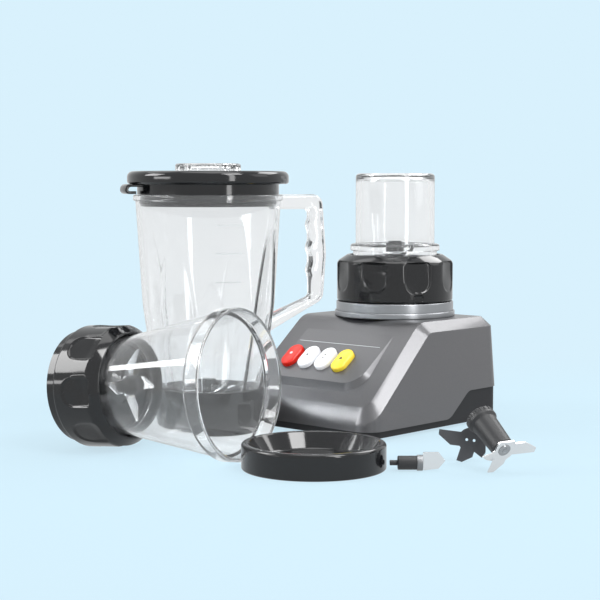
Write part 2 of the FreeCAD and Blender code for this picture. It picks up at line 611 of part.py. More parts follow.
def rotor():
    """Shaft, slotted core, commutator, fan and the drive dog; all turn together."""
    top = "platform_height + dog_rest + dog_height"
    shaft = cylinder("Shaft", "shaft_radius", f"{top} - shaft_bottom", (*DRIVE, "shaft_bottom"))
    finish(shaft, "rotor_shaft")
    core = new_body("Core")
    plan = sketch_on(core, "XY_Plane", "Lamination")
    ring(plan, "0", "0", "stack_bore - air_gap")
    ring(plan, "0", "0", "shaft_radius")
    pad(core, plan, "stack_height - 2")
    slot = sketch_on(core, "XY_Plane", "Slot")
    outline(slot, rectangle("2.4", "8", "0", "stack_bore - 4"))
    around(core, pocket(core, slot, "2 * stack_height", both_ways=True), "12")
    finish(place(core, (*DRIVE, "stack_bottom + 1")), "rotor_core")
    drum = new_body("Commutator")
    turned(drum, [("shaft_radius", "0"), ("commutator_radius", "0"), ("commutator_radius", "commutator_height"),
                  ("shaft_radius", "commutator_height")])
    finish(place(drum, (*DRIVE, "stack_bottom + stack_height + 1")), "commutator")
    fan = new_body("Fan")
    turned(fan, [("shaft_radius", "0"), ("fan_radius", "0"), ("fan_radius", "1.6"), ("9", "1.6"),
                 ("9", "fan_blade_height"), ("shaft_radius", "fan_blade_height")])
    vane = sketch_on(fan, "XY_Plane", "Vane")
    outline(vane, rectangle("1.4", "fan_radius - 8.5", "0", "(fan_radius + 8.5) / 2"))
    around(fan, pad(fan, vane, "fan_blade_height"), "9")
    finish(place(fan, (*DRIVE, f"{BEARING_LOW} + bearing_height + 1.3")), "cooling_fan")


def star(sketch, reach, root, count=6):
    """Six-lobed dog outline: straight flanks between an outer and a root radius."""
    corners = []
    for lobe in range(count):
        for offset, radius in ((-20, root), (-12, reach), (12, reach), (20, root)):
            angle = 360 / count * lobe + offset
            corners.append((f"({radius}) * cos({angle})", f"({radius}) * sin({angle})"))
    return outline(sketch, corners)


def drive_dog():
    """Star-shaped driver on the motor shaft."""
    body = new_body("DriveDog")
    plan = sketch_on(body, "XY_Plane", "Star")
    star(plan, "dog_radius", "0.72 * dog_radius")
    ring(plan, "0", "0", "shaft_radius")
    pad(body, plan, "dog_height")
    return finish(place(body, (*DRIVE, "platform_height + dog_rest")), "drive_coupling")


# ---------------------------------------------------------------- buttons and switch

BUTTONS = ("button_off", "button_low", "button_high", "button_pulse")


def push_buttons():
    """Four pill-shaped keys, each with its stem down to the switch block."""
    for i, label in enumerate(BUTTONS):
        key = pill(f"Key{i}", "button_width", "button_length", "button_proud + 2 * button_travel",
                   button_spot(i, "-2 * button_travel"), "2.2")
        stem = doc.addObject("Part::Cylinder", f"Stem{i}")
        stem.setExpression("Radius", bound("stem_radius"))
        stem.setExpression("Height", bound("stem_length + 0.5"))
        stem.Placement = button_spot(i, "-2 * button_travel - stem_length")
        finish(fused(f"Button{i}", [key, stem]), label)


def switch_block():
    """Switch body behind the keys: one bar with four guide bores, hung from the housing's two bosses."""
    plane = button_spot(1.5, f"{SWITCH_TOP} - switch_height")
    bar = doc.addObject("Part::Box", "SwitchBar")
    bar.setExpression("Length", bound(f"2 * {SWITCH_HALF}"))
    bar.setExpression("Width", bound("switch_width"))
    bar.setExpression("Height", bound("switch_height"))
    shift = plane.Rotation.multVec(Vector(-value(SWITCH_HALF), -value("switch_width") / 2, 0))
    bar.Placement = Placement(plane.Base + shift, plane.Rotation)
    bores = []
    for i in range(4):
        bore = doc.addObject("Part::Cylinder", f"GuideBore{i}")
        bore.setExpression("Radius", bound("stem_radius + button_gap"))
        bore.setExpression("Height", bound("switch_height"))
        bore.Placement = button_spot(i, "-3 * button_travel - stem_length - 2")
        bores.append(bore)
    return finish(cut("SwitchBlock", bar, bores), "switch_block")


# ---------------------------------------------------------------- screw collars and blade gear

def scalloped(body, radius, height, shoulder):
    """Eight U-shaped finger scallops round a collar."""
    face = sketch_on(body, "XZ_Plane", "Scallop", f"{radius} - scallop_depth")
    half = "scallop_width / 2"
    low, high = "scallop_bottom", f"{height} - {shoulder} + 1"
    outline(face, [(f"-({half})", low), (half, low), (half, high), (f"-({half})", high)],
            {0: "scallop_width * 0.42", 1: "scallop_width * 0.42", 2: "3", 3: "3"})
    recess = pocket(body, face, "3 * scallop_depth", reverse=True)
    return around(body, recess, "scallop_count")


# lower end of a bearing tube above the face that stands on the ring, or in the ring on the platform
TUBE_OVER_RING = "dog_rest + dog_height + dog_mesh + dog_wall + dog_mesh - ring_height - seat_gap"
TUBE_IN_RING = "dog_rest + dog_height + dog_mesh + dog_wall + dog_mesh"


def screw_collar(name, label, radius, height, shoulder, mouth, spigot, deck, spot, turn=None, double=True):
    """Fluted black collar: skirt, shoulder, deck with a bearing tube, and a mouth for the cup.

    A double collar has a ring groove between its spigot and its outer skirt.
    """
    body = new_body(name)
    tube = "bush_radius + 2.5"
    tube_low = TUBE_OVER_RING
    spigot_radius = f"({spigot})"
    under = f"{deck} - deck_thick"
    turned(body, [("bush_radius", tube_low), (tube, tube_low), (tube, under),
                  (f"{spigot_radius} - spigot_wall", under), (f"{spigot_radius} - spigot_wall", "-spigot_depth"),
                  (spigot_radius, "-spigot_depth"), (spigot_radius, "0"), (radius, "0"),
                  (radius, f"{height} - {shoulder}"), (f"{mouth} + 2", height), (mouth, height),
                  (mouth, deck), ("dome_radius", deck), ("bush_radius + 1.5", f"{deck} + dome_height"),
                  ("bush_radius", f"{deck} + dome_height")],
           {7: "foot_round", 8: "5", 9: "1.2", 12: "1.5", 13: "1"})
    if double:
        groove(body, [(f"{spigot_radius} + 1", "-1"), (f"{spigot_radius} + 1 + collar_groove", "-1"),
                      (f"{spigot_radius} + 1 + collar_groove", f"{deck} - 2 * deck_thick"),
                      (f"{spigot_radius} + 1", f"{deck} - 2 * deck_thick")])
    scalloped(body, radius, height, shoulder)
    return finish(place(body, spot, turn), label)


def blade_gear(prefix, reach, deck, low, spot, turn=None, wings=4):
    """Bush, spindle, winged blade, castellated nut and driven dog on one axis."""
    dome = f"{deck} + dome_height"
    bush = new_body(prefix + "Bush")
    turned(bush, [("spindle_radius + 0.05", low), ("bush_radius", low), ("bush_radius", dome),
                  ("spindle_radius + 0.05", dome)])
    finish(place(bush, spot, turn), prefix + "_bush")
    spindle = new_body(prefix + "Spindle")
    dog_low = f"{low} - dog_mesh - dog_wall"
    turned(spindle, [("0", dog_low), ("spindle_radius", dog_low), ("spindle_radius", f"{dome} + nut_height - 1"),
                     ("0", f"{dome} + nut_height - 1")])
    finish(place(spindle, spot, turn), prefix + "_spindle")
    # wings bent up and wings left flatter take turns round the hub
    blade(prefix, f"{dome} + 0.3", spot, turn,
          [(360 / wings * i, reach, "wing_slope" if i % 2 == 0 else "0.3 * wing_slope") for i in range(wings)])
    nut = new_body(prefix + "Nut")
    base = f"{dome} + 0.3 + blade_thick"
    turned(nut, [("spindle_radius", base), ("nut_radius", base), ("nut_radius", f"{base} + nut_height - 2"),
                 ("nut_radius - 2", f"{base} + nut_height - 2"), ("nut_radius - 2", f"{base} + nut_height"),
                 ("0", f"{base} + nut_height"), ("0", f"{dome} + nut_height - 1"),
                 ("spindle_radius", f"{dome} + nut_height - 1")], {2: "1", 4: "1"})
    notch = sketch_on(nut, "XY_Plane", "Notch", f"{base} + 3")
    ring(notch, "nut_radius + 0.6", "0", "1.9")
    around(nut, pocket(nut, notch, "nut_height", reverse=True), "6")
    finish(place(nut, spot, turn), prefix + "_blade_nut")
    dog = new_body(prefix + "Dog")
    turned(dog, [("spindle_radius", dog_low), ("dog_radius + dog_wall", dog_low), ("dog_radius + dog_wall", f"{low} - dog_mesh"),
                 ("spindle_radius", f"{low} - dog_mesh")])
    skirt = sketch_on(dog, "XY_Plane", "Skirt", f"{dog_low} - dog_height + 1")
    ring(skirt, "0", "0", "dog_radius + dog_wall")
    star(skirt, "dog_radius + dog_gap", "0.72 * dog_radius + dog_gap")
    pad(dog, skirt, "dog_height - 1")
    finish(place(dog, spot, turn), prefix + "_coupling")


def wing_form(name, reach, slope, width, level, angle):
    """One pressed wing: it leaves the hub level, bends by a slope and is cut off slantwise at its tip."""
    body = new_body(name)
    side = sketch_on(body, "XZ_Plane", "Wing")
    bend = "hub_width / 2 + 1"
    rise = f"{slope} * ({reach} - {bend})"
    corners = [("hub_width / 2 - 4", level), (bend, level), (reach, f"{level} + {rise}"),
               (f"{reach} - 0.5 * blade_thick", f"{level} + {rise} + blade_thick"),
               (f"{bend} - 0.4", f"{level} + blade_thick"), ("hub_width / 2 - 4", f"{level} + blade_thick")]
    pad(body, outline(side, corners), width, both_ways=True)
    tip = sketch_on(body, "XY_Plane", "Sweep")
    outline(tip, [(f"{reach} - 0.55 * ({reach} - {bend})", f"{width} / 2 + 0.1"), (f"{reach} + 1", f"-0.2 * {width}"),
                  (f"{reach} + 1", f"{width} / 2 + 0.1")])
    pocket(body, tip)
    body.Placement = Placement(Vector(), Rotation(Vector(0, 0, 1), angle))
    return body


def blade(prefix, level, spot, turn, wings, disc=None):
    """Pressed steel blade: square or round hub with wings given as (angle, reach, slope)."""
    body = new_body(prefix + "Hub")
    hub = sketch_on(body, "XY_Plane", "Hub", level)
    if disc:
        # a riveted disc: two small rivet holes and no bore
        ring(hub, "0", "0", disc)
        for side in (-1, 1):
            ring(hub, f"{side} * 0.3 * {disc}", "0", "1.1")
    else:
        outline(hub, rectangle("hub_width", "hub_width"), dict.fromkeys(range(4), "2"))
        ring(hub, "0", "0", "spindle_radius")
    pad(body, hub, "blade_thick")
    parts = [wing_form(f"{prefix}Wing{i}", reach, slope, "wing_width", level, angle)
             for i, (angle, reach, slope) in enumerate(wings)]
    steel = fused(prefix + "Steel", [body, *parts])
    return finish(place(steel, spot, turn), prefix + "_blade")


def seal(name, label, inner, outer, level, spot, turn=None):
    """Flat rubber ring."""
    body = new_body(name)
    turned(body, [(inner, level), (outer, level), (outer, f"{level} + seal_thick"), (inner, f"{level} + seal_thick")],
           {0: "0.6", 1: "0.6", 2: "0.6", 3: "0.6"})
    return finish(place(body, spot, turn), label)


# ---------------------------------------------------------------- mill on the base

MILL = ("0", "drive_y", "platform_height + ring_height + seat_gap")


def mill():
    """Dry mill: collar in the ring, blade gear on the drive, cup upside down on the collar."""
    screw_collar("MillCollar", "mill_collar", "mill_radius", "mill_collar_height", "mill_shoulder", "mill_mouth",
                 "socket_radius - 0.4", "deck_height", MILL, Rotation(Vector(0, 0, 1), value("mill_turn")))
    blade_gear("mill", "mill_blade_reach", "deck_height", TUBE_OVER_RING, MILL, wings=2)
    seal("MillSeal", "mill_seal", "mill_neck - 6", "mill_mouth - 0.3", "deck_height + 0.02", MILL)
    cup = new_body("MillCup")
    foot = "deck_height + seal_thick + 0.3"
    turned(cup, [("mill_cup_radius - mill_cup_wall", foot), ("mill_neck", foot), ("mill_neck", "mill_flange_low"),
                 ("mill_flange", "mill_flange_low"), ("mill_flange", "mill_flange_high"),
                 ("mill_cup_radius", "mill_flange_high"), ("mill_cup_radius", "mill_cup_top"), ("0", "mill_cup_top"),
                 ("0", "mill_cup_top - mill_cup_wall"),
                 ("mill_cup_radius - mill_cup_top_wall", "mill_cup_top - mill_cup_wall")],
           {3: "1", 4: "2.4", 6: "3.5", 9: "5"})
    finish(place(cup, MILL), "mill_cup")


# ---------------------------------------------------------------- jug

JAR = ("jar_x", "jar_y", "0")
JAR_DECK = "jar_collar_height - 12"
LID_SKIRT = "(jar_rim_height + lid_skirt_rise)"
LID_TOP = f"({LID_SKIRT} + lid_rise)"


def jar_form(name, inset):
    """Tapering round jug form with four flutes pressed in, offset inwards by an inset."""
    body = new_body(name)
    low = "jar_collar_height - 8"
    end = "0" if inset == "0" else "1"
    turned(body, [("0", f"{low} - {end}"), (f"jar_foot_radius + 4 - {inset}", f"{low} - {end}"),
                  (f"jar_low_radius - {inset}", "jar_collar_height + 4"),
                  (f"jar_mid_radius - {inset}", "jar_mid_height"),
                  (f"jar_top_radius - {inset}", "jar_rim_height - jar_rim_band"),
                  (f"jar_top_radius - {inset}", f"jar_rim_height + {end}"), ("0", f"jar_rim_height + {end}")],
           {2: "12", 3: "120"})
    flutes = []
    for i in range(4):
        # each cutter leans in towards its foot, so that the flute runs out to a point at the top
        angle = value("jar_turn") + 45 + 90 * i
        lean = Rotation(Vector(0, 0, 1), angle) * Rotation(Vector(0, 1, 0), value("flute_lean"))
        out = value("jar_mid_radius + flute_radius + (jar_top_radius - jar_mid_radius)"
                    " * (flute_top - jar_mid_height) / (jar_rim_height - jar_rim_band - jar_mid_height)")
        head = Vector(out, 0, value("flute_top"))
        head = Rotation(Vector(0, 0, 1), angle).multVec(head)
        flute = doc.addObject("Part::Cylinder", f"{name}Flute{i}")
        flute.setExpression("Radius", bound(f"flute_radius + {inset}"))
        flute.setExpression("Height", bound("flute_top"))
        flute.Placement = Placement(head, lean * Rotation(Vector(1, 0, 0), 180))
        flutes.append(flute)
    return cut(name + "Fluted", body, flutes)


def jar_handle():
    """Moulded loop handle with three finger bumps, outlined in the jug's own upright plane."""
    body = new_body("HandleForm")
    face = sketch_on(body, "XZ_Plane", "Loop")
    top, root = "jar_rim_height", "jar_top_radius - 1"
    grip = "handle_reach - handle_grip"
    low = "jar_rim_height - handle_drop"
    bumps = []
    for i in range(3):
        level = f"{top} - handle_arm - 14 - {i} * 20"
        bumps += [(grip, f"{level} + 6"), (f"{grip} - finger_bump", level), (grip, f"{level} - 6")]
    corners = [(root, top), ("handle_reach - 4", top), ("handle_reach", f"{top} - 52"),
               ("handle_reach - 3", f"{low} + 6"), ("jar_mid_radius - 6", f"{low} - 22"),
               ("jar_mid_radius - 6", f"{low} - 7"), (f"{grip} + 1", f"{low} + 9"), *reversed(bumps),
               (grip, f"{top} - handle_arm"), (root, f"{top} - handle_arm")]
    count = len(corners)
    rounds = {1: "9", 2: "40", 3: "10", 6: "6", count - 2: "4"}
    rounds.update({i: "6" for i in range(7, count - 2)})
    outline(face, corners, rounds)
    loop = pad(body, face, "handle_thick", both_ways=True)
    doc.recompute()
    half = value("handle_thick") / 2
    soften(body, loop, "Fillet", "handle_round",
           lambda e: min(abs(e.BoundBox.YMin - half), abs(e.BoundBox.YMax + half)) < 1e-3
           and e.BoundBox.XMax > value(root) + 1)
    return body


def jar():
    """Jug body, handle, collar, seal, blade gear, lid, lid seal and measuring cap."""
    outer, inner = jar_form("JarOuter", "0"), jar_form("JarInner", "jar_wall")
    rim = new_body("JarRim")
    turned(rim, [("jar_top_radius - 1", "jar_rim_height - jar_rim_band"), ("jar_rim_radius", "jar_rim_height - jar_rim_band"),
                 ("jar_rim_radius", "jar_rim_height"), ("jar_top_radius - 1", "jar_rim_height")], {1: "1.5", 2: "1.5"})
    handle = jar_handle()
    handle.Placement = Placement(Vector(), Rotation(Vector(0, 0, 1), value("jar_turn")))
    shell = cut("JarShell", fused("JarSolid", [outer, rim, handle]), [inner])
    place(shell, JAR)
    finish(shell, "jar_body")
    jar_collar()
    blade_gear("jar", "jar_blade_reach", JAR_DECK, TUBE_IN_RING, JAR)
    seal("JarSeal", "jar_seal", "jar_foot_radius - 3.5", "jar_foot_radius + 4", f"{JAR_DECK} + 0.02", JAR)
    jar_lid()


def jar_collar():
    """Screw collar that holds the jug's blade gear and stands on the worktop."""
    collar = new_body("JarCollar")
    tube = "bush_radius + 2.5"
    turned(collar, [("bush_radius", TUBE_IN_RING), (tube, TUBE_IN_RING), (tube, f"{JAR_DECK} - deck_thick"),
                    ("jar_collar_radius - 8", f"{JAR_DECK} - deck_thick"), ("jar_collar_radius - 8", "0"),
                    ("jar_collar_radius", "0"), ("jar_collar_radius + 3.4", "jar_collar_height"),
                    ("jar_low_radius - 1.6", "jar_collar_height"), ("jar_foot_radius + 4.4", f"{JAR_DECK} + 4"),
                    ("jar_foot_radius + 4.4", JAR_DECK), ("dome_radius", JAR_DECK),
                    ("bush_radius + 1.5", f"{JAR_DECK} + dome_height"), ("bush_radius", f"{JAR_DECK} + dome_height")],
           {5: "3", 6: "1"})
    face = sketch_on(collar, "XZ_Plane", "Scallop", "jar_collar_radius - scallop_depth + 1")
    outline(face, [("-9", "8"), ("9", "8"), ("9", "30"), ("-9", "30")], {0: "7", 1: "7", 2: "3", 3: "3"})
    around(collar, pocket(collar, face, "4 * scallop_depth", reverse=True), "scallop_count")
    finish(place(collar, JAR), "jar_collar")


def jar_lid():
    """Black lid with a plug and a spout tab, its seal, and the clear measuring cap in its hole."""
    lid = new_body("JarLid")
    plug = "jar_top_radius - jar_wall - 1"
    skirt, top = LID_SKIRT, LID_TOP
    low = "jar_rim_height - lid_plug_depth"
    rest = "jar_rim_height + 0.3"
    turned(lid, [("lid_hole", f"{skirt} - 8"), ("lid_hole + lid_wall", f"{skirt} - 8"),
                 ("lid_hole + lid_wall", f"{skirt} + 2"), (f"{plug} - lid_wall", f"{skirt} + 2"),
                 (f"{plug} - lid_wall", low), (plug, low), (plug, rest), ("lid_skirt_radius", rest),
                 ("lid_skirt_radius", skirt), ("lid_rim_radius", skirt),
                 ("lid_rim_radius", top), ("lid_rim_radius - 7", top),
                 ("lid_rim_radius - 10", f"{top} - 3"), ("lid_hole", f"{top} - 3")],
           {9: "2.5", 10: "5", 11: "2"})
    tab = sketch_on(lid, "XY_Plane", "Tab", rest)
    outline(tab, [("-lid_tab_reach", "-9"), ("-lid_skirt_radius + 4", "-13"), ("-lid_skirt_radius + 4", "13"),
                  ("-lid_tab_reach", "9")], {0: "4", 3: "4"})
    pad(lid, tab, "lid_skirt_rise - 0.3 + 0.5")
    finish(place(lid, JAR, Rotation(Vector(0, 0, 1), value("jar_turn"))), "jar_lid")
    gasket = new_body("JarLidSeal")
    turned(gasket, [(f"{plug} + 0.04", f"{low} + 2"), ("jar_top_radius - jar_wall - 0.35", f"{low} + 3"),
                    ("jar_top_radius - jar_wall - 0.35", f"{low} + 4"), (f"{plug} + 0.04", f"{low} + 5")])
    finish(place(gasket, JAR), "jar_lid_seal")
    cap = new_body("MeasuringCap")
    inner = "lid_hole - 0.4"
    crown, seat = f"{top} + cap_rise", f"{top} - 3 + 0.3"
    turned(cap, [(f"{inner} - 2", f"{crown} - cap_depth"), (inner, f"{crown} - cap_depth"), (inner, seat),
                 ("cap_radius", seat), ("cap_radius", crown), ("0", crown),
                 ("0", f"{crown} - 2.4"), (f"{inner} - 2", f"{crown} - 2.4")], {4: "2", 7: "3"})
    flute = sketch_on(cap, "XY_Plane", "Rib", f"{top} - 3")
    ring(flute, "cap_radius + 0.8", "0", "cap_rib + 0.8")
    around(cap, pocket(cap, flute, "cap_rise + 1.2", reverse=True), "cap_rib_count")
    finish(place(cap, JAR), "measuring_cap")


# ---------------------------------------------------------------- chopper cup on its side

def lying_pose():
    """Spot and rotation that lay the cup on its collar's foot and its mouth's rim."""
    # both touching edges have the same rounding, so the floor runs parallel to the line of their centres
    reach = value("chop_length - chop_band + chop_band_step + foot_round * tan(22.5) - foot_round")
    tilt = math.atan2(value("chop_mouth_radius - chop_radius"), reach)
    turn = Rotation(Vector(0, 0, 1), value("lying_turn")) * Rotation(Vector(0, 1, 0), 90 - math.degrees(tilt))
    height = value("chop_radius - foot_round") * math.cos(tilt) + value("foot_round") * (1 - math.sin(tilt))
    axis = turn.multVec(Vector(0, 0, 1))
    back = Vector(axis.x, axis.y, 0) * value("chop_length")
    return (f"mouth_x - {back.x}", f"mouth_y - {back.y}", str(height)), turn


def chopper():
    """Chopper cup: fluted collar with its blade gear, seal and a clear cup with a stepped mouth."""
    spot, turn = lying_pose()
    deck = "chop_collar_height - 10"
    screw_collar("ChopCollar", "chopper_collar", "chop_radius", "chop_collar_height", "chop_shoulder",
                 "chop_mouth_ring - 2", "socket_radius - 0.4", deck, spot, turn, double=False)
    blade_gear("chopper", "chop_blade_reach", deck, TUBE_OVER_RING, spot, turn)
    seal("ChopSeal", "chopper_seal", "chop_neck_radius - 6", "chop_mouth_ring - 2.3", f"{deck} + 0.02", spot, turn)
    cup = new_body("ChopCup")
    foot = f"{deck} + seal_thick + 0.3"
    step = "chop_length - chop_band"
    neck, band = "chop_neck_radius", "chop_mouth_radius - chop_band_step"
    turned(cup, [(f"{neck} - chop_wall", foot), (neck, foot), (neck, "chop_collar_height + 2"),
                 (band, step), ("chop_mouth_radius", f"{step} + chop_band_step"), ("chop_mouth_radius", "chop_length"),
                 ("chop_mouth_radius - chop_wall", "chop_length"), ("chop_mouth_radius - chop_wall", f"{step} + 1"),
                 (f"{band} - chop_wall", f"{step} + 1"), (f"{neck} - chop_wall", "chop_collar_height + 2")],
           {2: "6", 3: "0.8", 4: "foot_round", 5: "rim_round", 6: "rim_round", 9: "6"})
    finish(place(cup, spot, turn), "chopper_cup")


def chopper_lid():
    """Black push-in lid: round wall, sloping bevel and a flat sunk floor."""
    lid = new_body("ChopperLid")
    inner = "dish_radius - dish_wall"
    turned(lid, [("0", "dish_floor - 3"), ("dish_radius - dish_wall", "dish_floor - 3"), ("dish_radius - dish_wall", "0"),
                 ("dish_radius", "0"), ("dish_radius", "dish_height"), (inner, "dish_height"),
                 (f"{inner} - dish_bevel", "dish_floor"), ("0", "dish_floor")], {3: "1.5", 4: "2.6", 5: "1.6", 6: "3"})
    finish(place(lid, ("dish_x", "dish_y", "0")), "chopper_lid")


# ---------------------------------------------------------------- loose blade pieces

def aim(direction, roll=0.0):
    """Rotation that points a piece's own Z along a direction, after a roll about that axis."""
    return Rotation(Vector(0, 0, 1), Vector(*direction)) * Rotation(Vector(0, 0, 1), roll)


def back_from(spot, turn, distance):
    """Expressions of the point that lies a distance back from a spot along the turned Z."""
    axis = turn.multVec(Vector(0, 0, 1))
    return tuple(f"{text} - {part} * ({distance})" for text, part in zip(spot, axis))


def loose_unit():
    """Removable blade unit leaning on its wings: conical holder with a serrated rim, spindle and blade."""
    turn = aim((0.798, -0.253, -0.547), LOOSE_ROLL)
    spot = back_from(("loose_x", "loose_y", "loose_z"), turn, "loose_length")
    body = new_body("LooseHolder")
    turned(body, [("spindle_radius + 0.05", "0"), ("loose_rim_radius", "0"), ("loose_rim_radius", "6"),
                  ("loose_rim_radius - 1.6", "8"), ("loose_neck_radius", "loose_length"),
                  ("spindle_radius + 0.05", "loose_length")], {1: "0.8", 4: "1.2"})
    notch = sketch_on(body, "XY_Plane", "Serration")
    ring(notch, "loose_rim_radius + 0.3", "0", "1.1")
    around(body, pocket(body, notch, "4", reverse=True), "18")
    finish(place(body, spot, turn), "loose_holder")
    spindle = new_body("LooseSpindle")
    top = "loose_length + 0.3 + blade_thick"
    turned(spindle, [("0", "-3"), ("spindle_radius", "-3"), ("spindle_radius", top), ("5", top), ("5", f"{top} + 1"),
                     ("2.5", f"{top} + 1"), ("1.5", f"{top} + 0.2"), ("0", f"{top} + 0.2")], {4: "0.6"})
    finish(place(spindle, spot, turn), "loose_spindle")
    blade("loose", "loose_length + 0.3", spot, turn, LOOSE_WINGS)


# roll that levels the long wing, and the wings as (angle, reach, slope)
LOOSE_ROLL = 72.4
LOOSE_WINGS = ((0, "loose_long_wing", "0"), (270, "loose_short_wing", "0"),
               (228, "loose_short_wing - 7", "-0.3"), (318, "loose_short_wing - 7", "-0.3"))


def spare_blade():
    """Spare two-winged blade with a round hub, standing on its shorter wing."""
    turn = aim((0.66, -0.71, 0.24), SPARE_ROLL)
    blade("spare", "0", ("spare_x", "spare_y", "spare_z"), turn,
          ((0, "spare_long_wing", "0"), (78, "spare_short_wing", "0"), (149, "spare_short_wing - 3", "0")),
          "spare_disc_radius")


# roll that points the long wing sideways and the short one down
SPARE_ROLL = 215.8


def small_unit():
    """Small blade unit on its side: round holder, steel band, and a flat blade along its axis."""
    turn = aim((0.7314, 0.6820, 0.0), 223.0)
    spot = ("small_x", "small_y", "small_radius + 0.7")
    body = new_body("SmallHolder")
    turned(body, [("0", "-6"), ("2", "-6"), ("2", "0"), ("small_radius", "0"), ("small_radius", "small_length"),
                  ("0", "small_length")], {3: "0.8"})
    finish(place(body, spot, turn), "small_holder")
    band = new_body("SmallBand")
    turned(band, [("0", "small_length"), ("small_radius + 0.7", "small_length"),
                  ("small_radius + 0.7", "small_length + small_band"), ("0", "small_length + small_band")],
           {1: "0.5", 2: "0.5"})
    finish(place(band, spot, turn), "small_band")
    plate = new_body("SmallPlate")
    face = sketch_on(plate, "XZ_Plane", "Plate")
    low = "small_length + small_band"
    foot, head = "-(small_radius + 0.6)", "small_plate_height - small_radius - 0.6"
    outline(face, [(foot, low), (head, low), (head, f"{low} + small_plate"), ("0.3 * small_radius", f"{low} + small_plate + 5"),
                   (f"{foot} + 1.5", f"{low} + small_plate")], {0: "1.5", 1: "1.5"})
    pad(plate, face, "blade_thick", both_ways=True)
    return finish(place(plate, spot, turn), "small_blade")


def write_parts():
    """Check every object and write one STEP file per sub-part."""
    doc.recompute()
    for item in doc.Objects:
        bad = [state for state in item.State if state in ("Invalid", "Error")]
        if bad:
            raise RuntimeError(f"{item.Name} ({item.Label}) is {bad}")
    os.makedirs("parts", exist_ok=True)
    for item in PARTS:
        shape = item.Shape
        if shape.isNull() or not shape.isValid() or not shape.Solids:
            raise RuntimeError(f"{item.Label} has no valid solid")
        shape.exportStep(os.path.join("parts", item.Label + ".step"))
        print(f"{item.Label}: {len(shape.Solids)} solid(s), {shape.Volume:.0f} cubic mm")


def build():
    """Make every sub-part in turn."""
    base_housing()
    base_tray()
    rubber_feet()
    base_screws()
    cord_gland()
    collar_ring()
    stator_stack()
    field_coils()
    bracket("LowBracket", "lower_bracket", BEARING_LOW)
    bracket("HighBracket", "upper_bracket", BRACKET_HIGH)
    bearing("LowBearing", "lower_bearing", BEARING_LOW)
    bearing("HighBearing", "upper_bearing", BRACKET_HIGH)
    motor_mounts()
    rotor()
    drive_dog()
    push_buttons()
    switch_block()
    mill()
    jar()
    chopper()
    chopper_lid()
    loose_unit()
    spare_blade()
    small_unit()


build()
write_parts()
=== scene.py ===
"""Looks of a countertop blender set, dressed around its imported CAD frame.

A motor base with a dry mill on it, a jug with its lid and measuring cap, a chopper cup lying on its side,
the cup's lid, and three loose blade pieces. Sizes in the classes are millimetres; meshes are in metres.
"""
import json
import logging
from contextlib import contextmanager
from dataclasses import dataclass, field
from enum import Enum
from math import acos, atan2, ceil, cos, degrees, pi, radians, sin, tan
from typing import Callable, Iterable, Iterator, Sequence

import bmesh
import bpy
import numpy as np
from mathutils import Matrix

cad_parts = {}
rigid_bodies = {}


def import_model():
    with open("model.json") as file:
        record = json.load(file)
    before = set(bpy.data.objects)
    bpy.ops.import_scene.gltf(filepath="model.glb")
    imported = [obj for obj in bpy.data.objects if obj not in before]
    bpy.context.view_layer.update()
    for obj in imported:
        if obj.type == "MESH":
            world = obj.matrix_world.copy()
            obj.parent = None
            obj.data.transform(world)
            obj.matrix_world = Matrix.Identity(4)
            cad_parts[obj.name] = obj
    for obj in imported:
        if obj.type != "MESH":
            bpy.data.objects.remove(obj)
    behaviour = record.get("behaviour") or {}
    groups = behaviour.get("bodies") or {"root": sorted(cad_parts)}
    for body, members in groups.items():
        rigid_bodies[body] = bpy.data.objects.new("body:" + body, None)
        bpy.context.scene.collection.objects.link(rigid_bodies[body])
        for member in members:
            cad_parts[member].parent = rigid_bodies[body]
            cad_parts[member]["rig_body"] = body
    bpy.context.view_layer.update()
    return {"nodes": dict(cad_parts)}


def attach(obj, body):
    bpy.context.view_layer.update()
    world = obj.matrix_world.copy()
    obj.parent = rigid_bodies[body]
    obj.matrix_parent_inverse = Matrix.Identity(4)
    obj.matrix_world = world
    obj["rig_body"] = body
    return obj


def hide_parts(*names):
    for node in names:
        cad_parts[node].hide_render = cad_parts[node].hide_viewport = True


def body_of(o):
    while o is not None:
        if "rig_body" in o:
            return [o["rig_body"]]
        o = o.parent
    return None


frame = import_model()

log = logging.getLogger("blender_set")
Array = np.ndarray
Node, Socket, Tree = bpy.types.Node, bpy.types.NodeSocket, bpy.types.NodeTree
Spot = tuple[float, float, float]
MM = 0.001
FULL = 2.0 * pi
BACKGROUND = "#d9f1fd"
REFLECTED = "#eceeef"  # what gloss, metal and clear plastic show in its place
MERGE = 2e-6  # metres: points nearer than this become one
SKIN = 2.2  # mm: a collar is carved only this near its outer radius
SQUARE = ((-1, -1), (1, -1), (1, 1), (-1, 1))
STRIP = 1.4  # mm: thickness of the blades' steel


# ---------------- finishes

def linear(code: str) -> tuple[float, float, float, float]:
    """Turn an sRGB hex colour into linear values.

    Args:
        code: colour as "#rrggbb".

    Returns:
        Linear red, green and blue, and an alpha of 1.
    """
    parts = [int(code[i:i + 2], 16) / 255 for i in (1, 3, 5)]
    return (*(p / 12.92 if p <= 0.04045 else ((p + 0.055) / 1.055) ** 2.4 for p in parts), 1.0)


def fresh_tree(owner: bpy.types.Material | bpy.types.World) -> Tree:
    """Node tree of a material or a world, switched on and emptied."""
    owner.use_nodes = True
    owner.node_tree.nodes.clear()
    return owner.node_tree


def linked(name: str, data: bpy.types.ID) -> bpy.types.Object:
    """New object with this data, linked to the scene."""
    made = bpy.data.objects.new(name, data)
    bpy.context.scene.collection.objects.link(made)
    return made


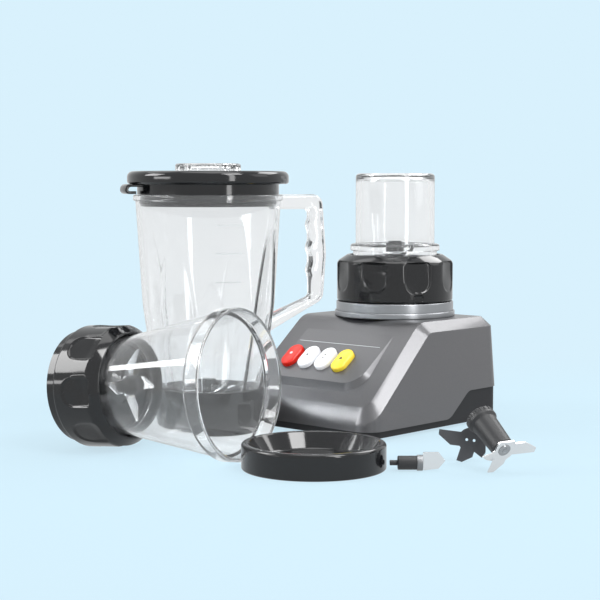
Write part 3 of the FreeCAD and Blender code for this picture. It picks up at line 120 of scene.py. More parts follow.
def add(tree: Tree, kind: str, sockets: dict | None = None, **settings: object) -> Node:
    """Add one shader node with its settings, input values and links.

    Args:
        tree: node tree that gets the node.
        kind: node type, without the ShaderNode that every one begins with.
        sockets: input name or number to a value, an output socket or a node, whose first output is taken.
        settings: attributes of the node itself.

    Returns:
        The new node.
    """
    made = tree.nodes.new("ShaderNode" + kind)
    for key, value in settings.items():
        setattr(made, key, value)
    for key, value in (sockets or {}).items():
        if isinstance(value, (Node, Socket)):
            tree.links.new(value.outputs[0] if isinstance(value, Node) else value, made.inputs[key])
        else:
            made.inputs[key].default_value = value
    return made


class Grain(Enum):
    """How a surface was made, which picks the pattern drawn on it."""

    POLISHED, TEXTURED, SPRAYED, BRUSHED, TURNED, CAST, LAYERED, WOUND = range(8)


@dataclass(frozen=True)
class Finish:
    """One material: what it is, how its surface was made, and the numbers that follow from that.

    pitch is the real size of the pattern in millimetres, drawn no finer than shows; swing is how far it
    lightens and darkens the colour, spread how far it moves the roughness, relief its bump height in mm.
    """

    name: str
    slot: str
    colour: str
    grain: Grain
    pitch: float
    roughness: float
    metallic: float = 0.0
    ior: float = 1.5
    coat: float = 0.0
    swing: float = 0.06
    spread: float = 0.05
    relief: float = 0.02
    clear: float = 0.0
    centre: tuple[float, float] = (0.0, 0.0)
    coat_roughness: float = 0.08

    def coordinates(self, tree: Tree) -> Node:
        """Object coordinates in pattern widths, stretched as the tool that made the surface ran.

        Brushing stretches the pattern along X. Turning reads only the distance from the axis and the
        height, so its lines run round the axis. Layers and windings read the height alone.
        """
        spot = add(tree, "TexCoord").outputs["Object"]
        scale = 1.0 / (self.pitch * MM)
        if self.grain is Grain.TURNED:
            axis = (self.centre[0] * MM, self.centre[1] * MM, 0.0)
            moved = add(tree, "VectorMath", {0: spot, 1: axis}, operation="SUBTRACT")
            flat = add(tree, "VectorMath", {0: moved, 1: (1.0, 1.0, 0.0)}, operation="MULTIPLY")
            far = add(tree, "VectorMath", {0: flat}, operation="LENGTH").outputs["Value"]
            spot = add(tree, "CombineXYZ", {0: far, 2: add(tree, "SeparateXYZ", {0: moved}).outputs[2]})
        stretch = {Grain.BRUSHED: (0.03, 1.0, 1.0), Grain.LAYERED: (0.02, 0.02, 1.0),
                   Grain.WOUND: (0.05, 0.05, 1.0)}.get(self.grain, (1.0, 1.0, 1.0))
        return add(tree, "Mapping", {"Vector": spot, "Scale": tuple(share * scale for share in stretch)})

    def pattern(self, tree: Tree) -> Node:
        """Pattern from 0 to 1 for this grain: cells for sprayed flakes, noise for the rest."""
        spot = self.coordinates(tree)
        if self.grain is Grain.SPRAYED:
            cells = add(tree, "TexVoronoi", {"Vector": spot, "Scale": 1.0})
            return add(tree, "SeparateXYZ", {0: cells.outputs["Color"]})
        detail = 4.0 if self.grain in (Grain.TEXTURED, Grain.CAST) else 2.0
        return add(tree, "TexNoise", {"Vector": spot, "Scale": 1.0, "Detail": detail})

    def material(self) -> bpy.types.Material:
        """Build the material once and return the same one after that."""
        made = bpy.data.materials.get(self.name)
        if made:
            return made
        made = bpy.data.materials.new(self.name)
        tree = fresh_tree(made)
        mask = self.pattern(tree)
        dark, pale = (tuple(min(1.0, c * (1 + side * self.swing)) for c in linear(self.colour)[:3]) + (1.0,)
                      for side in (-1, 1))
        tint = add(tree, "Mix", {0: mask, 6: dark, 7: pale}, data_type="RGBA").outputs[2]
        rough = add(tree, "MapRange", {0: mask, 3: max(0.02, self.roughness - self.spread),
                                       4: min(1.0, self.roughness + self.spread)})
        bump = add(tree, "Bump", {"Height": mask, "Strength": 1.0, "Distance": self.relief * MM})
        surface = add(tree, "BsdfPrincipled", {
            "Base Color": tint, "Roughness": rough, "Normal": bump, "Metallic": self.metallic,
            "IOR": self.ior, "Transmission Weight": self.clear, "Coat Weight": self.coat,
            "Coat Roughness": self.coat_roughness})
        if self.clear:
            # lamps shine through clear plastic, so that its shadow stays pale
            shadow = add(tree, "LightPath").outputs["Is Shadow Ray"]
            passing = add(tree, "BsdfTransparent", {"Color": (0.9, 0.92, 0.93, 1.0)})
            surface = add(tree, "MixShader", {0: shadow, 1: surface, 2: passing})
        add(tree, "OutputMaterial", {"Surface": surface})
        return made


SHIFT = (-60.276, 104.263)  # from the motor base's middle to the set's middle
DRIVE = (SHIFT[0], SHIFT[1] + 38.0)  # axis of the drive and of the mill

# lacquer over ABS, sprayed with fine aluminium flakes: soft metallic sheen with a faint sparkle
SILVER = Finish(
    "abs_silver_lacquer", "housing_silver", "#626264", Grain.SPRAYED, 0.5, 0.32, metallic=0.62, coat=0.1,
    swing=0.05, spread=0.03, relief=0.004)
# spark-eroded mould texture: dull black with a fine dry grain
TRAY = Finish(
    "abs_textured_black", "tray_black", "#17181b", Grain.TEXTURED, 0.8, 0.6, ior=1.42, swing=0.1,
    relief=0.03)
# moulded rubber: dead matt, almost no sheen
RUBBER = Finish("moulded_rubber", "rubber_black", "#1b1b1c", Grain.TEXTURED, 1.2, 0.8, ior=1.45, swing=0.12)
# turned and anodised aluminium: fine lines round the axis that draw the light out
RING = Finish(
    "anodised_turned_aluminium", "ring_satin", "#999b9e", Grain.TURNED, 0.45, 0.3, metallic=1.0, swing=0.07,
    spread=0.08, relief=0.006, centre=DRIVE)
# high-gloss black ABS from a polished mould: deep, with a slight waviness from sinking
GLOSS = Finish(
    "abs_gloss_black", "gloss_black", "#101113", Grain.POLISHED, 16.0, 0.09, swing=0.1, spread=0.03)
# clear styrene plastic from a polished mould: faint flow waves and a light haze
CLEAR = Finish(
    "san_clear", "clear", "#fcfdfe", Grain.POLISHED, 22.0, 0.03, clear=0.985, swing=0.015, spread=0.02)
# glossy coloured ABS keys, each moulded through in its colour
RED, WHITE, YELLOW = (
    Finish("abs_gloss_" + name, "button_" + name, code, Grain.POLISHED, 9.0, rough, swing=swing, relief=0.01)
    for name, code, rough, swing in (("red", "#dc1c06", 0.22, 0.04), ("white", "#fbfbff", 0.24, 0.02),
                                     ("yellow", "#fcdc42", 0.22, 0.03)))
# tampon-printed ink: thin, flat, slightly dull; the pale one also paints the highlight on the jug's moulded
# scale lines
PALE_INK_AND_HIGHLIGHT, INK_DARK = (
    Finish("printed_ink_" + tone, slot, code, Grain.TEXTURED, 0.6, 0.5, swing=swing, relief=0.003)
    for tone, slot, code, swing in (("light", "button_white", "#c2c6c9", 0.03),
                                    ("dark", "tray_black", "#3a3430", 0.05)))
# stamped stainless strip with its rolling lines, a blackened one, and ground bar stock
BLADE = Finish(
    "stainless_stamped", "blade_steel", "#e6e7e8", Grain.BRUSHED, 0.5, 0.2, metallic=1.0, spread=0.07,
    relief=0.006)
DISC = Finish(
    "stainless_blackened", "blade_steel", "#5c5e61", Grain.CAST, 0.7, 0.34, metallic=1.0, swing=0.1,
    relief=0.008)
STEEL = Finish("steel_ground", "steel", "#a5a7a9", Grain.BRUSHED, 0.4, 0.26, metallic=1.0, relief=0.005)
# hidden works: punched sheet stack, enamelled wire, die casting, sintered bush, moulded nylon
LAMINATION = Finish(
    "silicon_steel_stack", "lamination", "#77787a", Grain.LAYERED, 1.0, 0.45, metallic=0.9, swing=0.25,
    relief=0.1)
COPPER = Finish(
    "enamelled_copper_wire", "copper", "#a4552b", Grain.WOUND, 0.9, 0.28, metallic=0.9, coat=0.4,
    swing=0.22, relief=0.15)
ZINC = Finish(
    "zinc_die_cast", "zinc", "#8f9293", Grain.CAST, 1.4, 0.48, metallic=0.9, swing=0.1, relief=0.03)
BRONZE = Finish("sintered_bronze", "bronze", "#8d6a3c", Grain.CAST, 0.6, 0.5, metallic=0.9, swing=0.2)
NYLON = Finish("nylon_natural", "fan_white", "#dcd9cf", Grain.TEXTURED, 1.0, 0.45, swing=0.04, relief=0.01)
DRIVEN = Finish(
    "nylon_glass_black", "drive_black", "#232426", Grain.TEXTURED, 0.7, 0.46, swing=0.15, relief=0.015)
# bead-blasted band: a dull, even grey
GREY_STEEL = Finish(
    "stainless_bead_blasted", "steel", "#8a8c8e", Grain.CAST, 0.5, 0.36, metallic=1.0, relief=0.006)


# ---------------- surfaces

def unit(vector: Array) -> Array:
    """The vector with a length of 1."""
    return vector / np.linalg.norm(vector)


def circle(count: int) -> Array:
    """Points of the unit circle, counter-clockwise from +X."""
    turns = np.linspace(0, FULL, count, endpoint=False)
    return np.stack([np.cos(turns), np.sin(turns)], 1)


def rounded(corners: Sequence[Sequence[float]], step: float = 12.0) -> Array:
    """Outline through corners, with an arc in place of each one that has a radius.

    An arc's centre lies on its corner's bisector, radius / sin(half angle) away, and the arc runs between
    the tangent points, radius / tan(half angle) along each side.

    Args:
        corners: the corners in order, each as two coordinates and, where it has one, its arc's radius.
        step: largest turn between two points of an arc, in degrees.

    Returns:
        Points of the outline, one row each.
    """
    points = np.array([corner[:2] for corner in corners], float)
    parts = []
    for i, (corner, (_, _, *radius)) in enumerate(zip(points, corners)):
        if not radius:
            parts.append(corner[None])
            continue
        back, ahead = unit(points[i - 1] - corner), unit(points[(i + 1) % len(points)] - corner)
        half = acos(float(np.clip(back @ ahead, -1, 1))) / 2
        centre = corner + unit(back + ahead) * radius[0] / sin(half)
        first, last = (corner + side * radius[0] / tan(half) - centre for side in (back, ahead))
        turn = atan2(first[0] * last[1] - first[1] * last[0], float(first @ last))
        angles = np.linspace(0, turn, max(3, ceil(abs(degrees(turn)) / step)) + 1)[:, None]
        parts.append(centre + np.cos(angles) * first + np.sin(angles) * np.array([-first[1], first[0]]))
    return np.concatenate(parts)


def dense(points: Array, step: float, wide: float, closed: bool = False) -> Array:
    """Divide an outline's long runs into equal shorter ones.

    Args:
        points: outline, one row each.
        step: longest run that is left whole.
        wide: only runs with both ends beyond this first coordinate are divided.
        closed: the last point joins the first.

    Returns:
        The outline with the extra points.
    """
    after = np.roll(points, -1, 0)
    parts = []
    for i, (start, end) in enumerate(zip(points, after)):
        last = i == len(points) - 1 and not closed
        count = ceil(np.linalg.norm(end - start) / step) if min(start[0], end[0]) > wide else 1
        share = np.linspace(0, 1, max(1, count), endpoint=False)[:, None]
        parts.append(start[None] if last else start + share * (end - start))
    return np.concatenate(parts)


@dataclass
class Surface:
    """Points in millimetres and the faces through them."""

    points: Array
    faces: list[list[int]]

    def __add__(self, other: "Surface") -> "Surface":
        """Both surfaces as one."""
        ahead = len(self.points)
        return Surface(np.concatenate([self.points, other.points]),
                       self.faces + [[index + ahead for index in face] for face in other.faces])

    def capped(self, count: int) -> "Surface":
        """The surface with a face over its first row and one over its last, of count points each."""
        ends = [list(range(count))[::-1], list(range(len(self.points)))[-count:]]
        return Surface(self.points, self.faces + ends)


@dataclass(frozen=True)
class Place:
    """Where a sub-assembly's own axes stand: its origin in millimetres and its turn."""

    spot: Spot
    turn: Array = field(default_factory=lambda: np.eye(3))

    def turned(self, angle: float) -> "Place":
        """The same spot, turned about Z by an angle in degrees."""
        return Place(self.spot, about(2, angle))

    def __call__(self, surface: Surface) -> Surface:
        """The surface, carried from the sub-assembly's own axes to the set's."""
        return Surface(surface.points @ self.turn.T + np.asarray(self.spot), surface.faces)


def about(axis: int, angle: float) -> Array:
    """Rotation matrix about X (0), Y (1) or Z (2), by an angle in degrees."""
    c, s = cos(radians(angle)), sin(radians(angle))
    i, j = (axis + 1) % 3, (axis + 2) % 3
    turn = np.eye(3)
    turn[i, i], turn[i, j], turn[j, i], turn[j, j] = c, -s, s, c
    return turn


def grid(points: Array, closed: bool = False) -> Surface:
    """Surface through an array of points, rows by columns, whose last column joins the first.

    Each quad joins a point with its neighbours in the next row and column.

    Args:
        points: array of rows, columns and x, y, z.
        closed: the last row joins the first.

    Returns:
        The surface.
    """
    rows, columns = points.shape[:2]
    i, j = np.arange(rows if closed else rows - 1)[:, None], np.arange(columns)[None]
    up, right = (i + 1) % rows, (j + 1) % columns
    quads = np.stack([i * columns + j, i * columns + right, up * columns + right, up * columns + j], -1)
    return Surface(points.reshape(-1, 3), quads.reshape(-1, 4).tolist())


Carve = Callable[[Array, Array, Array], Array]


def lathe(profile: Array, turns: int | Array, closed: bool = True, carve: Carve | None = None) -> Surface:
    """Profile of radius and height, carried round the Z axis.

    Point (i, j) is (radius cos turn, radius sin turn, height), where carve may first change the radius.

    Args:
        profile: rows of radius and height.
        turns: number of columns, or their angles.
        closed: the profile is a loop that doesn't touch the axis.
        carve: gives the radius from the plain radius, height and angle.

    Returns:
        The surface.
    """
    angles = np.linspace(0, FULL, turns, endpoint=False) if isinstance(turns, int) else turns
    radius, height = (np.repeat(profile[:, k:k + 1], len(angles), 1) for k in (0, 1))
    if carve:
        radius = carve(radius, height, angles[None])
    return grid(np.stack([radius * np.cos(angles), radius * np.sin(angles), height], -1), closed=closed)


def slab(outline: Array, thick: float, edge: float, steps: int) -> Surface:
    """Plate with rounded edges: an outline in its XY plane, given a thickness about Z = 0.

    Row k of the edge is the outline moved in by edge (1 - cos a) at the height of an arc of that radius. A
    corner moves along the sum of its sides' normals over 1 + their cosine, so that both sides keep their gap.

    Args:
        outline: closed outline, counter-clockwise.
        thick: full thickness.
        edge: radius of both edges.
        steps: divisions of each edge's quarter arc.

    Returns:
        The closed surface.
    """
    ahead = np.roll(outline, -1, 0) - outline
    ahead = np.stack([ahead[:, 1], -ahead[:, 0]], 1) / np.linalg.norm(ahead, axis=1)[:, None]
    behind = np.roll(ahead, 1, 0)
    normal = (ahead + behind) / (1 + np.sum(ahead * behind, 1))[:, None]
    arc = np.linspace(0, pi / 2, steps + 1)
    flat, side = thick / 2 - edge, np.concatenate([-arc[::-1], arc])
    level = np.repeat([-flat, flat], steps + 1) + edge * np.sin(side)
    move = edge * (1 - np.cos(side))
    rows = outline[None] - move[:, None, None] * normal[None]
    points = np.concatenate([rows, np.broadcast_to(level[:, None, None], (*rows.shape[:2], 1))], 2)
    return grid(points).capped(len(outline))


def printed(outline: Array) -> Surface:
    """Thin printed film with this outline."""
    return slab(outline, 0.12, 0.03, 1)


def matched(path: Array, knots: Sequence[Sequence[float]], counts: Sequence[int]) -> Array:
    """Spread points along a curve so that each run between two knots gets its own number of them.

    Args:
        path: points of the curve, one row each.
        knots: places that end a run, taken at the curve's nearest point.
        counts: points of each run, one more entry than there are knots.

    Returns:
        The new points, with the curve's last point at the end.
    """
    length = np.concatenate([[0.0], np.cumsum(np.linalg.norm(np.diff(path, axis=0), axis=1))])
    nearest = [np.argmin(np.linalg.norm(path - np.asarray(knot), axis=1)) for knot in knots]
    marks = [0.0, *length[nearest], length[-1]]
    runs = [np.linspace(a, b, count, endpoint=False) for a, b, count in zip(marks, marks[1:], counts)]
    at = np.concatenate([*runs, length[-1:]])
    return np.stack([np.interp(at, length, path[:, k]) for k in (0, 1)], 1)


def bar(outer: Array, inner: Array, thick: float, corner: float) -> Surface:
    """Bar between two curves of the XZ plane that share their stations, its section a rounded rectangle.

    Section point t of station i is middle + direction u + Y w, where u = sign (width / 2 - corner) +
    corner cos t and w = sign (thick / 2 - corner) + corner sin t, each quarter of t with its own signs.

    Args:
        outer: points of the outer curve.
        inner: points of the inner curve, one for each outer one.
        thick: size along Y.
        corner: radius of the section's corners.

    Returns:
        The closed surface.
    """
    across = outer - inner
    width = np.linalg.norm(across, axis=1)[:, None]
    steps = 6  # points of each corner's arc
    t = (np.arange(4)[:, None] * pi / 2 + np.linspace(0, pi / 2, steps)).ravel()
    side, face = np.repeat([1, -1, -1, 1], steps), np.repeat([1, 1, -1, -1], steps)
    round_ = np.minimum(corner, width * 0.49)  # just under half, so that a narrow section stays open
    u = side * (width / 2 - round_) + round_ * np.cos(t)
    w = np.broadcast_to(face * (thick / 2 - corner) + corner * np.sin(t), u.shape)
    flat = ((outer + inner) / 2)[:, None] + u[..., None] * (across / width)[:, None]
    return grid(np.stack([flat[..., 0], w, flat[..., 1]], -1)).capped(4 * steps)


def mesh_object(name: str, mesh: bpy.types.Mesh, finish: Finish, body: str, nodes: Iterable[str],
                crease: float) -> bpy.types.Object:
    """Link a finished mesh as a piece that rides on a body.

    Args:
        name: piece name.
        mesh: its mesh, in metres and in place.
        finish: its material.
        body: CAD body that it rides on.
        nodes: CAD nodes that it stands for.
        crease: edges that turn more than this many degrees stay sharp.

    Returns:
        The object.
    """
    mesh.shade_smooth()
    mesh.set_sharp_from_angle(angle=radians(crease))
    mesh.materials.clear()
    mesh.materials.append(finish.material())
    made = linked(name, mesh)
    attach(made, body)
    if nodes:
        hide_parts(*nodes)
    log.info("%s: %d faces on %s", name, len(mesh.polygons), body)
    return made


@contextmanager
def merged(mesh: bpy.types.Mesh) -> Iterator[bmesh.types.BMesh]:
    """Open a mesh for work with its double points merged, and write it back afterwards."""
    work = bmesh.new()
    work.from_mesh(mesh)
    bmesh.ops.remove_doubles(work, verts=work.verts, dist=MERGE)
    yield work
    work.to_mesh(mesh)
    work.free()


def piece(name: str, surface: Surface, finish: Finish, body: str, nodes: Iterable[str] = (),
          crease: float = 32.0) -> None:
    """Put a closed surface into a mesh: merge its seams and poles, turn it outwards, and dress it."""
    mesh = bpy.data.meshes.new(name)
    mesh.from_pydata((surface.points * MM).tolist(), [], surface.faces)
    with merged(mesh) as work:
        bmesh.ops.dissolve_degenerate(work, edges=work.edges, dist=1e-7)
        if work.calc_volume(signed=True) < 0:
            bmesh.ops.reverse_faces(work, faces=work.faces)
    mesh_object(name, mesh, finish, body, nodes, crease)


def carried(node: str, finish: Finish, crease: float = 30.0, edge: float = 0.0) -> None:
    """Copy of a CAD node with its loose triangles merged, smooth faces, and small rounded edges.

    Args:
        node: the CAD node, which the copy stands for.
        finish: its material.
        crease: edges that turn more than this many degrees stay sharp, or are rounded.
        edge: radius of the rounded edges in millimetres, or 0.
    """
    source = frame["nodes"][node]
    mesh = source.data.copy()
    with merged(mesh) as work:
        bmesh.ops.dissolve_limit(work, angle_limit=radians(0.4), verts=work.verts, edges=work.edges)
    made = mesh_object(node + "_skin", mesh, finish, np.ravel(body_of(source))[0], [node], crease)
    if edge:
        soft = made.modifiers.new("Edges", "BEVEL")
        soft.width, soft.segments, soft.limit_method = edge * MM, 2, "ANGLE"
        soft.angle_limit, soft.harden_normals, soft.use_clamp_overlap = radians(crease), True, True


def dressed(node: str, finish: Finish) -> None:
    """Give a CAD node that stays as it is its finish on every slot."""
    source = frame["nodes"][node]
    for part in [source, *source.children_recursive]:
        if part.type == "MESH":
            if not part.material_slots:
                part.data.materials.append(finish.material())
            for slot in part.material_slots:
                slot.material = finish.material()


# ---------------- parts that several pieces share

def inside_plate(across: Array, height: Array, half: float, low: float, high: float, bottom: float,
                 top: float) -> Array:
    """Distance inside an upright plate with round corners, negative outside it.

    With q the overshoot past the corner centres on each axis, the distance is corner - |q above 0| -
    the larger q where both are below 0; the corner radius is bottom in the lower half and top above it.
    """
    middle, tall = (low + high) / 2, (high - low) / 2
    corner = np.where(height < middle, bottom, top)
    qx, qy = np.abs(across) - half + corner, np.abs(height - middle) - tall + corner
    return corner - np.hypot(np.maximum(qx, 0), np.maximum(qy, 0)) - np.minimum(np.maximum(qx, qy), 0)


def folded(turns: Array, count: int) -> Array:
    """Angle from the nearest of count equal directions, the first of them along +X."""
    step = FULL / count
    return ((turns / step + 0.5) % 1 - 0.5) * step


def near_side(centre: float | Array, cutter: float | Array, turns: Array) -> Array:
    """Radius at which a ray enters a cutter, and a far one where it misses.

    A round cutter's near side is centre cos a - sqrt(cutter^2 - (centre sin a)^2) from the axis, a being
    the angle from its middle.
    """
    inside = cutter ** 2 - (centre * np.sin(turns)) ** 2
    return np.where(inside > 0, centre * np.cos(turns) - np.sqrt(np.clip(inside, 0, None)), 1e3)


@dataclass(frozen=True)
class Scallops:
    """Row of U-shaped finger scoops pressed into a collar's wall, with a crisp rolled rim.

    The floor of a scoop is depth (1 - hollow (across / half width)^2) below the wall, and its rim eases down
    to that over a short way by 3 s^2 - 2 s^3, s being the distance inside the U over that way. The scoop
    runs out towards its round end, from full depth at 1 / run_out of its height down to the shallow share.
    """

    radius: float
    width: float
    low: float
    high: float
    depth: float = 3.4
    bottom: float = 11.0
    top: float = 3.5
    hollow: float = 0.62
    rim: float = 1.3
    shallow: float = 0.3
    run_out: float = 1.4
    count: int = 8

    def __call__(self, radius: Array, height: Array, turns: Array) -> Array:
        """Radius of the wall with the scoops in it."""
        across = folded(turns, self.count) * self.radius
        gap = inside_plate(across, height, self.width / 2, self.low, self.high, self.bottom, self.top)
        ease = np.clip(gap / self.rim, 0, 1)
        dip = self.depth * (1 - self.hollow * (2 * across / self.width) ** 2) * ease * ease * (3 - 2 * ease)
        up = np.clip((height - self.low) / (self.high - self.low) * self.run_out, 0, 1)
        dip *= self.shallow + (1 - self.shallow) * up
        return np.where(radius > self.radius - SKIN, radius - dip, radius)

    def angles(self) -> Array:
        """Column angles: close together in a scoop, wide on the land, and a few on each scoop's rim."""
        step, edge, rim = FULL / self.count, self.width / 2 / self.radius, self.rim / self.radius
        scoop = np.concatenate([np.linspace(-edge, rim - edge, 5),
                                np.linspace(rim - edge, edge - rim, 31)[1:-1],
                                np.linspace(edge - rim, edge, 5)])
        sector = np.concatenate([scoop, np.linspace(edge, step - edge, 6)[1:-1]])
        return (np.arange(self.count)[:, None] * step + sector).ravel()


@dataclass(frozen=True)
class Recess:
    """One small rectangular index recess in a collar's wall."""

    radius: float
    angle: float
    half: float = 4.7
    low: float = 1.4
    high: float = 7.4
    depth: float = 1.1
    corner: float = 0.8
    ease: float = 0.5

    def __call__(self, radius: Array, height: Array, turns: Array) -> Array:
        """Radius of the wall with the recess in it, its edges eased over a short way."""
        across = ((turns - radians(self.angle) + pi) % FULL - pi) * self.radius
        gap = inside_plate(across, height, self.half, self.low, self.high, self.corner, self.corner)
        dip = self.depth * np.clip(gap / self.ease, 0, 1)
        return np.where(radius > self.radius - SKIN, radius - dip, radius)


@dataclass(frozen=True)
class Notches:
    """Round notches cut parallel to the axis: each is a circle about a point just outside the wall."""

    centre: float
    cutter: float
    low: float
    high: float
    count: int

    def __call__(self, radius: Array, height: Array, turns: Array) -> Array:
        """Nearer one of the wall and the cutter."""
        within = (height > self.low) & (height < self.high)
        near = near_side(self.centre, self.cutter, folded(turns, self.count))
        return np.where(within, np.minimum(radius, near), radius)


def wing(reach: float, slope: float) -> Surface:
    """Pressed blade wing along X: level at its root, bent up after the bend, its tip cut off slantwise.

    A station at x is a thin eight-sided section; its far side runs from half the width to the tip's point,
    and its ground edge is thinned to a sixth. The height gains slope (x - bend) beyond the bend.

    Args:
        reach: distance of the tip from the axis.
        slope: rise per length beyond the bend.

    Returns:
        The closed surface.
    """
    root, bend, width, bevel, chamfer, half = 4.0, 9.0, 11.0, 3.0, 0.18, STRIP / 2
    x = np.concatenate([np.linspace(root, bend, 4), np.linspace(bend, reach, 14)[1:]])
    low = np.full_like(x, -width / 2)
    high = np.interp(x, [reach - 0.55 * (reach - bend), reach], [width / 2, -0.2 * width])
    grind = np.interp(x, [bend, bend + bevel], [1.0, 0.16])
    ground, flat = high - bevel * (1 - grind) - chamfer, np.full_like(x, half)
    y = np.stack([low, low + chamfer, ground, high, high, ground, low + chamfer, low], 1)
    z = np.stack([chamfer - flat, -flat, -flat, -half * grind, half * grind, flat, flat, flat - chamfer], 1)
    z = z + half + (slope * np.clip(x - bend, 0, None))[:, None]
    body = grid(np.stack([np.repeat(x[:, None], 8, 1), y, z], -1))
    body.faces += [list(range(8)), list(range(len(body.points) - 8, len(body.points)))[::-1]]
    return body


def blade(level: float, wings: Iterable[tuple[float, float, float]]) -> Surface:
    """Blade with a square hub and wings given as angle, reach and slope."""
    half, corner = 8.0, 2.0
    square = [(x * half, y * half, corner) for x, y in SQUARE]
    hub = slab(rounded(square), STRIP, 0.25, 2)
    made = Place((0.0, 0.0, level + STRIP / 2))(hub)
    for angle, reach, slope in wings:
        made = made + Place((0.0, 0.0, level)).turned(angle)(wing(reach, slope))
    return made


@dataclass
class Gear:
    """Winged blade and castellated nut on one axis."""

    prefix: str
    body: str
    place: Place
    dome: float
    reach: float
    wings: int = 4
    nut_radius: float = 8.2
    nut_height: float = 10.5

    def build(self) -> None:
        """Make the blade and the nut; dress the bush, spindle, driven dog and seal."""
        level = self.dome + 0.3
        wings = [(360 / self.wings * i, self.reach, 0.126 if i % 2 else 0.42) for i in range(self.wings)]
        steel = self.place(blade(level, wings))
        piece(self.prefix + "_blade_steel", steel, BLADE, self.body, [self.prefix + "_blade"])
        wide, base, ledge = self.nut_radius, level + STRIP, 2
        top = base + self.nut_height
        profile = rounded([
            (0, base), (wide, base, 0.4), (wide, top - ledge, 1.0), (wide - ledge, top - ledge),
            (wide - ledge, top, 1.0), (0, top)])
        nut = lathe(dense(profile, 1.0, wide - 2.5), 144, closed=False,
                    carve=Notches(centre=wide + 0.6, cutter=1.9, low=base + 3, high=top + 1, count=6))
        piece(self.prefix + "_nut_black", self.place(nut), GLOSS, self.body, [self.prefix + "_blade_nut"])
        for name, finish in (("bush", BRONZE), ("spindle", STEEL), ("coupling", DRIVEN), ("seal", RUBBER)):
            carried(f"{self.prefix}_{name}", finish)


@dataclass
class ScrewCollar:
    """Gloss black collar with finger scoops, a double skirt, a deck with its dome, and a mouth."""

    name: str
    body: str
    place: Place
    radius: float
    height: float
    shoulder: float
    mouth: float
    deck: float
    spigot: float = 46.0

    def build(self, recess: Recess | None = None) -> None:
        """Make the collar as one turned ring with the scoops, and perhaps an index recess, in its wall."""
        outer, deck, under, rim, spigot = self.radius, self.deck, self.deck - 4, self.height, self.spigot
        skirt = [(6, 3.4), (8.5, 3.4), (8.5, under), (spigot - 2.6, under), (spigot - 2.6, -9), (spigot, -9)]
        if outer > spigot + 5:
            skirt += [(spigot, -1), (spigot + 1, -1), (spigot + 1, deck - 8), (spigot + 3.2, deck - 8),
                      (spigot + 3.2, 0)]
        else:
            skirt += [(spigot, 0)]
        wall = [(outer, 0, 2.0), (outer, rim - self.shoulder, 5.0), (self.mouth + 2, rim, 1.2),
                (self.mouth, rim, 0.8), (self.mouth, deck), (15, deck, 1.5), (7.5, deck + 7, 1.0),
                (6, deck + 7)]
        scoops = Scallops(outer, width=26.0 if outer > 52 else 25.0, low=9.0, high=rim - self.shoulder + 1.0)
        turns = scoops.angles()
        if recess:
            fine = radians(recess.angle) % FULL + np.linspace(-1.15, 1.15, 41) * recess.half / outer
            turns = np.union1d(np.round(turns, 6), np.round(fine, 6))
        collar = lathe(dense(rounded(skirt + wall), 0.85, outer - 2.4, True), turns,
                       carve=lambda r, z, a: recess(scoops(r, z, a), z, a) if recess else scoops(r, z, a))
        piece(self.name + "_black", self.place(collar), GLOSS, self.body, [self.name], crease=40)


# ---------------- motor base

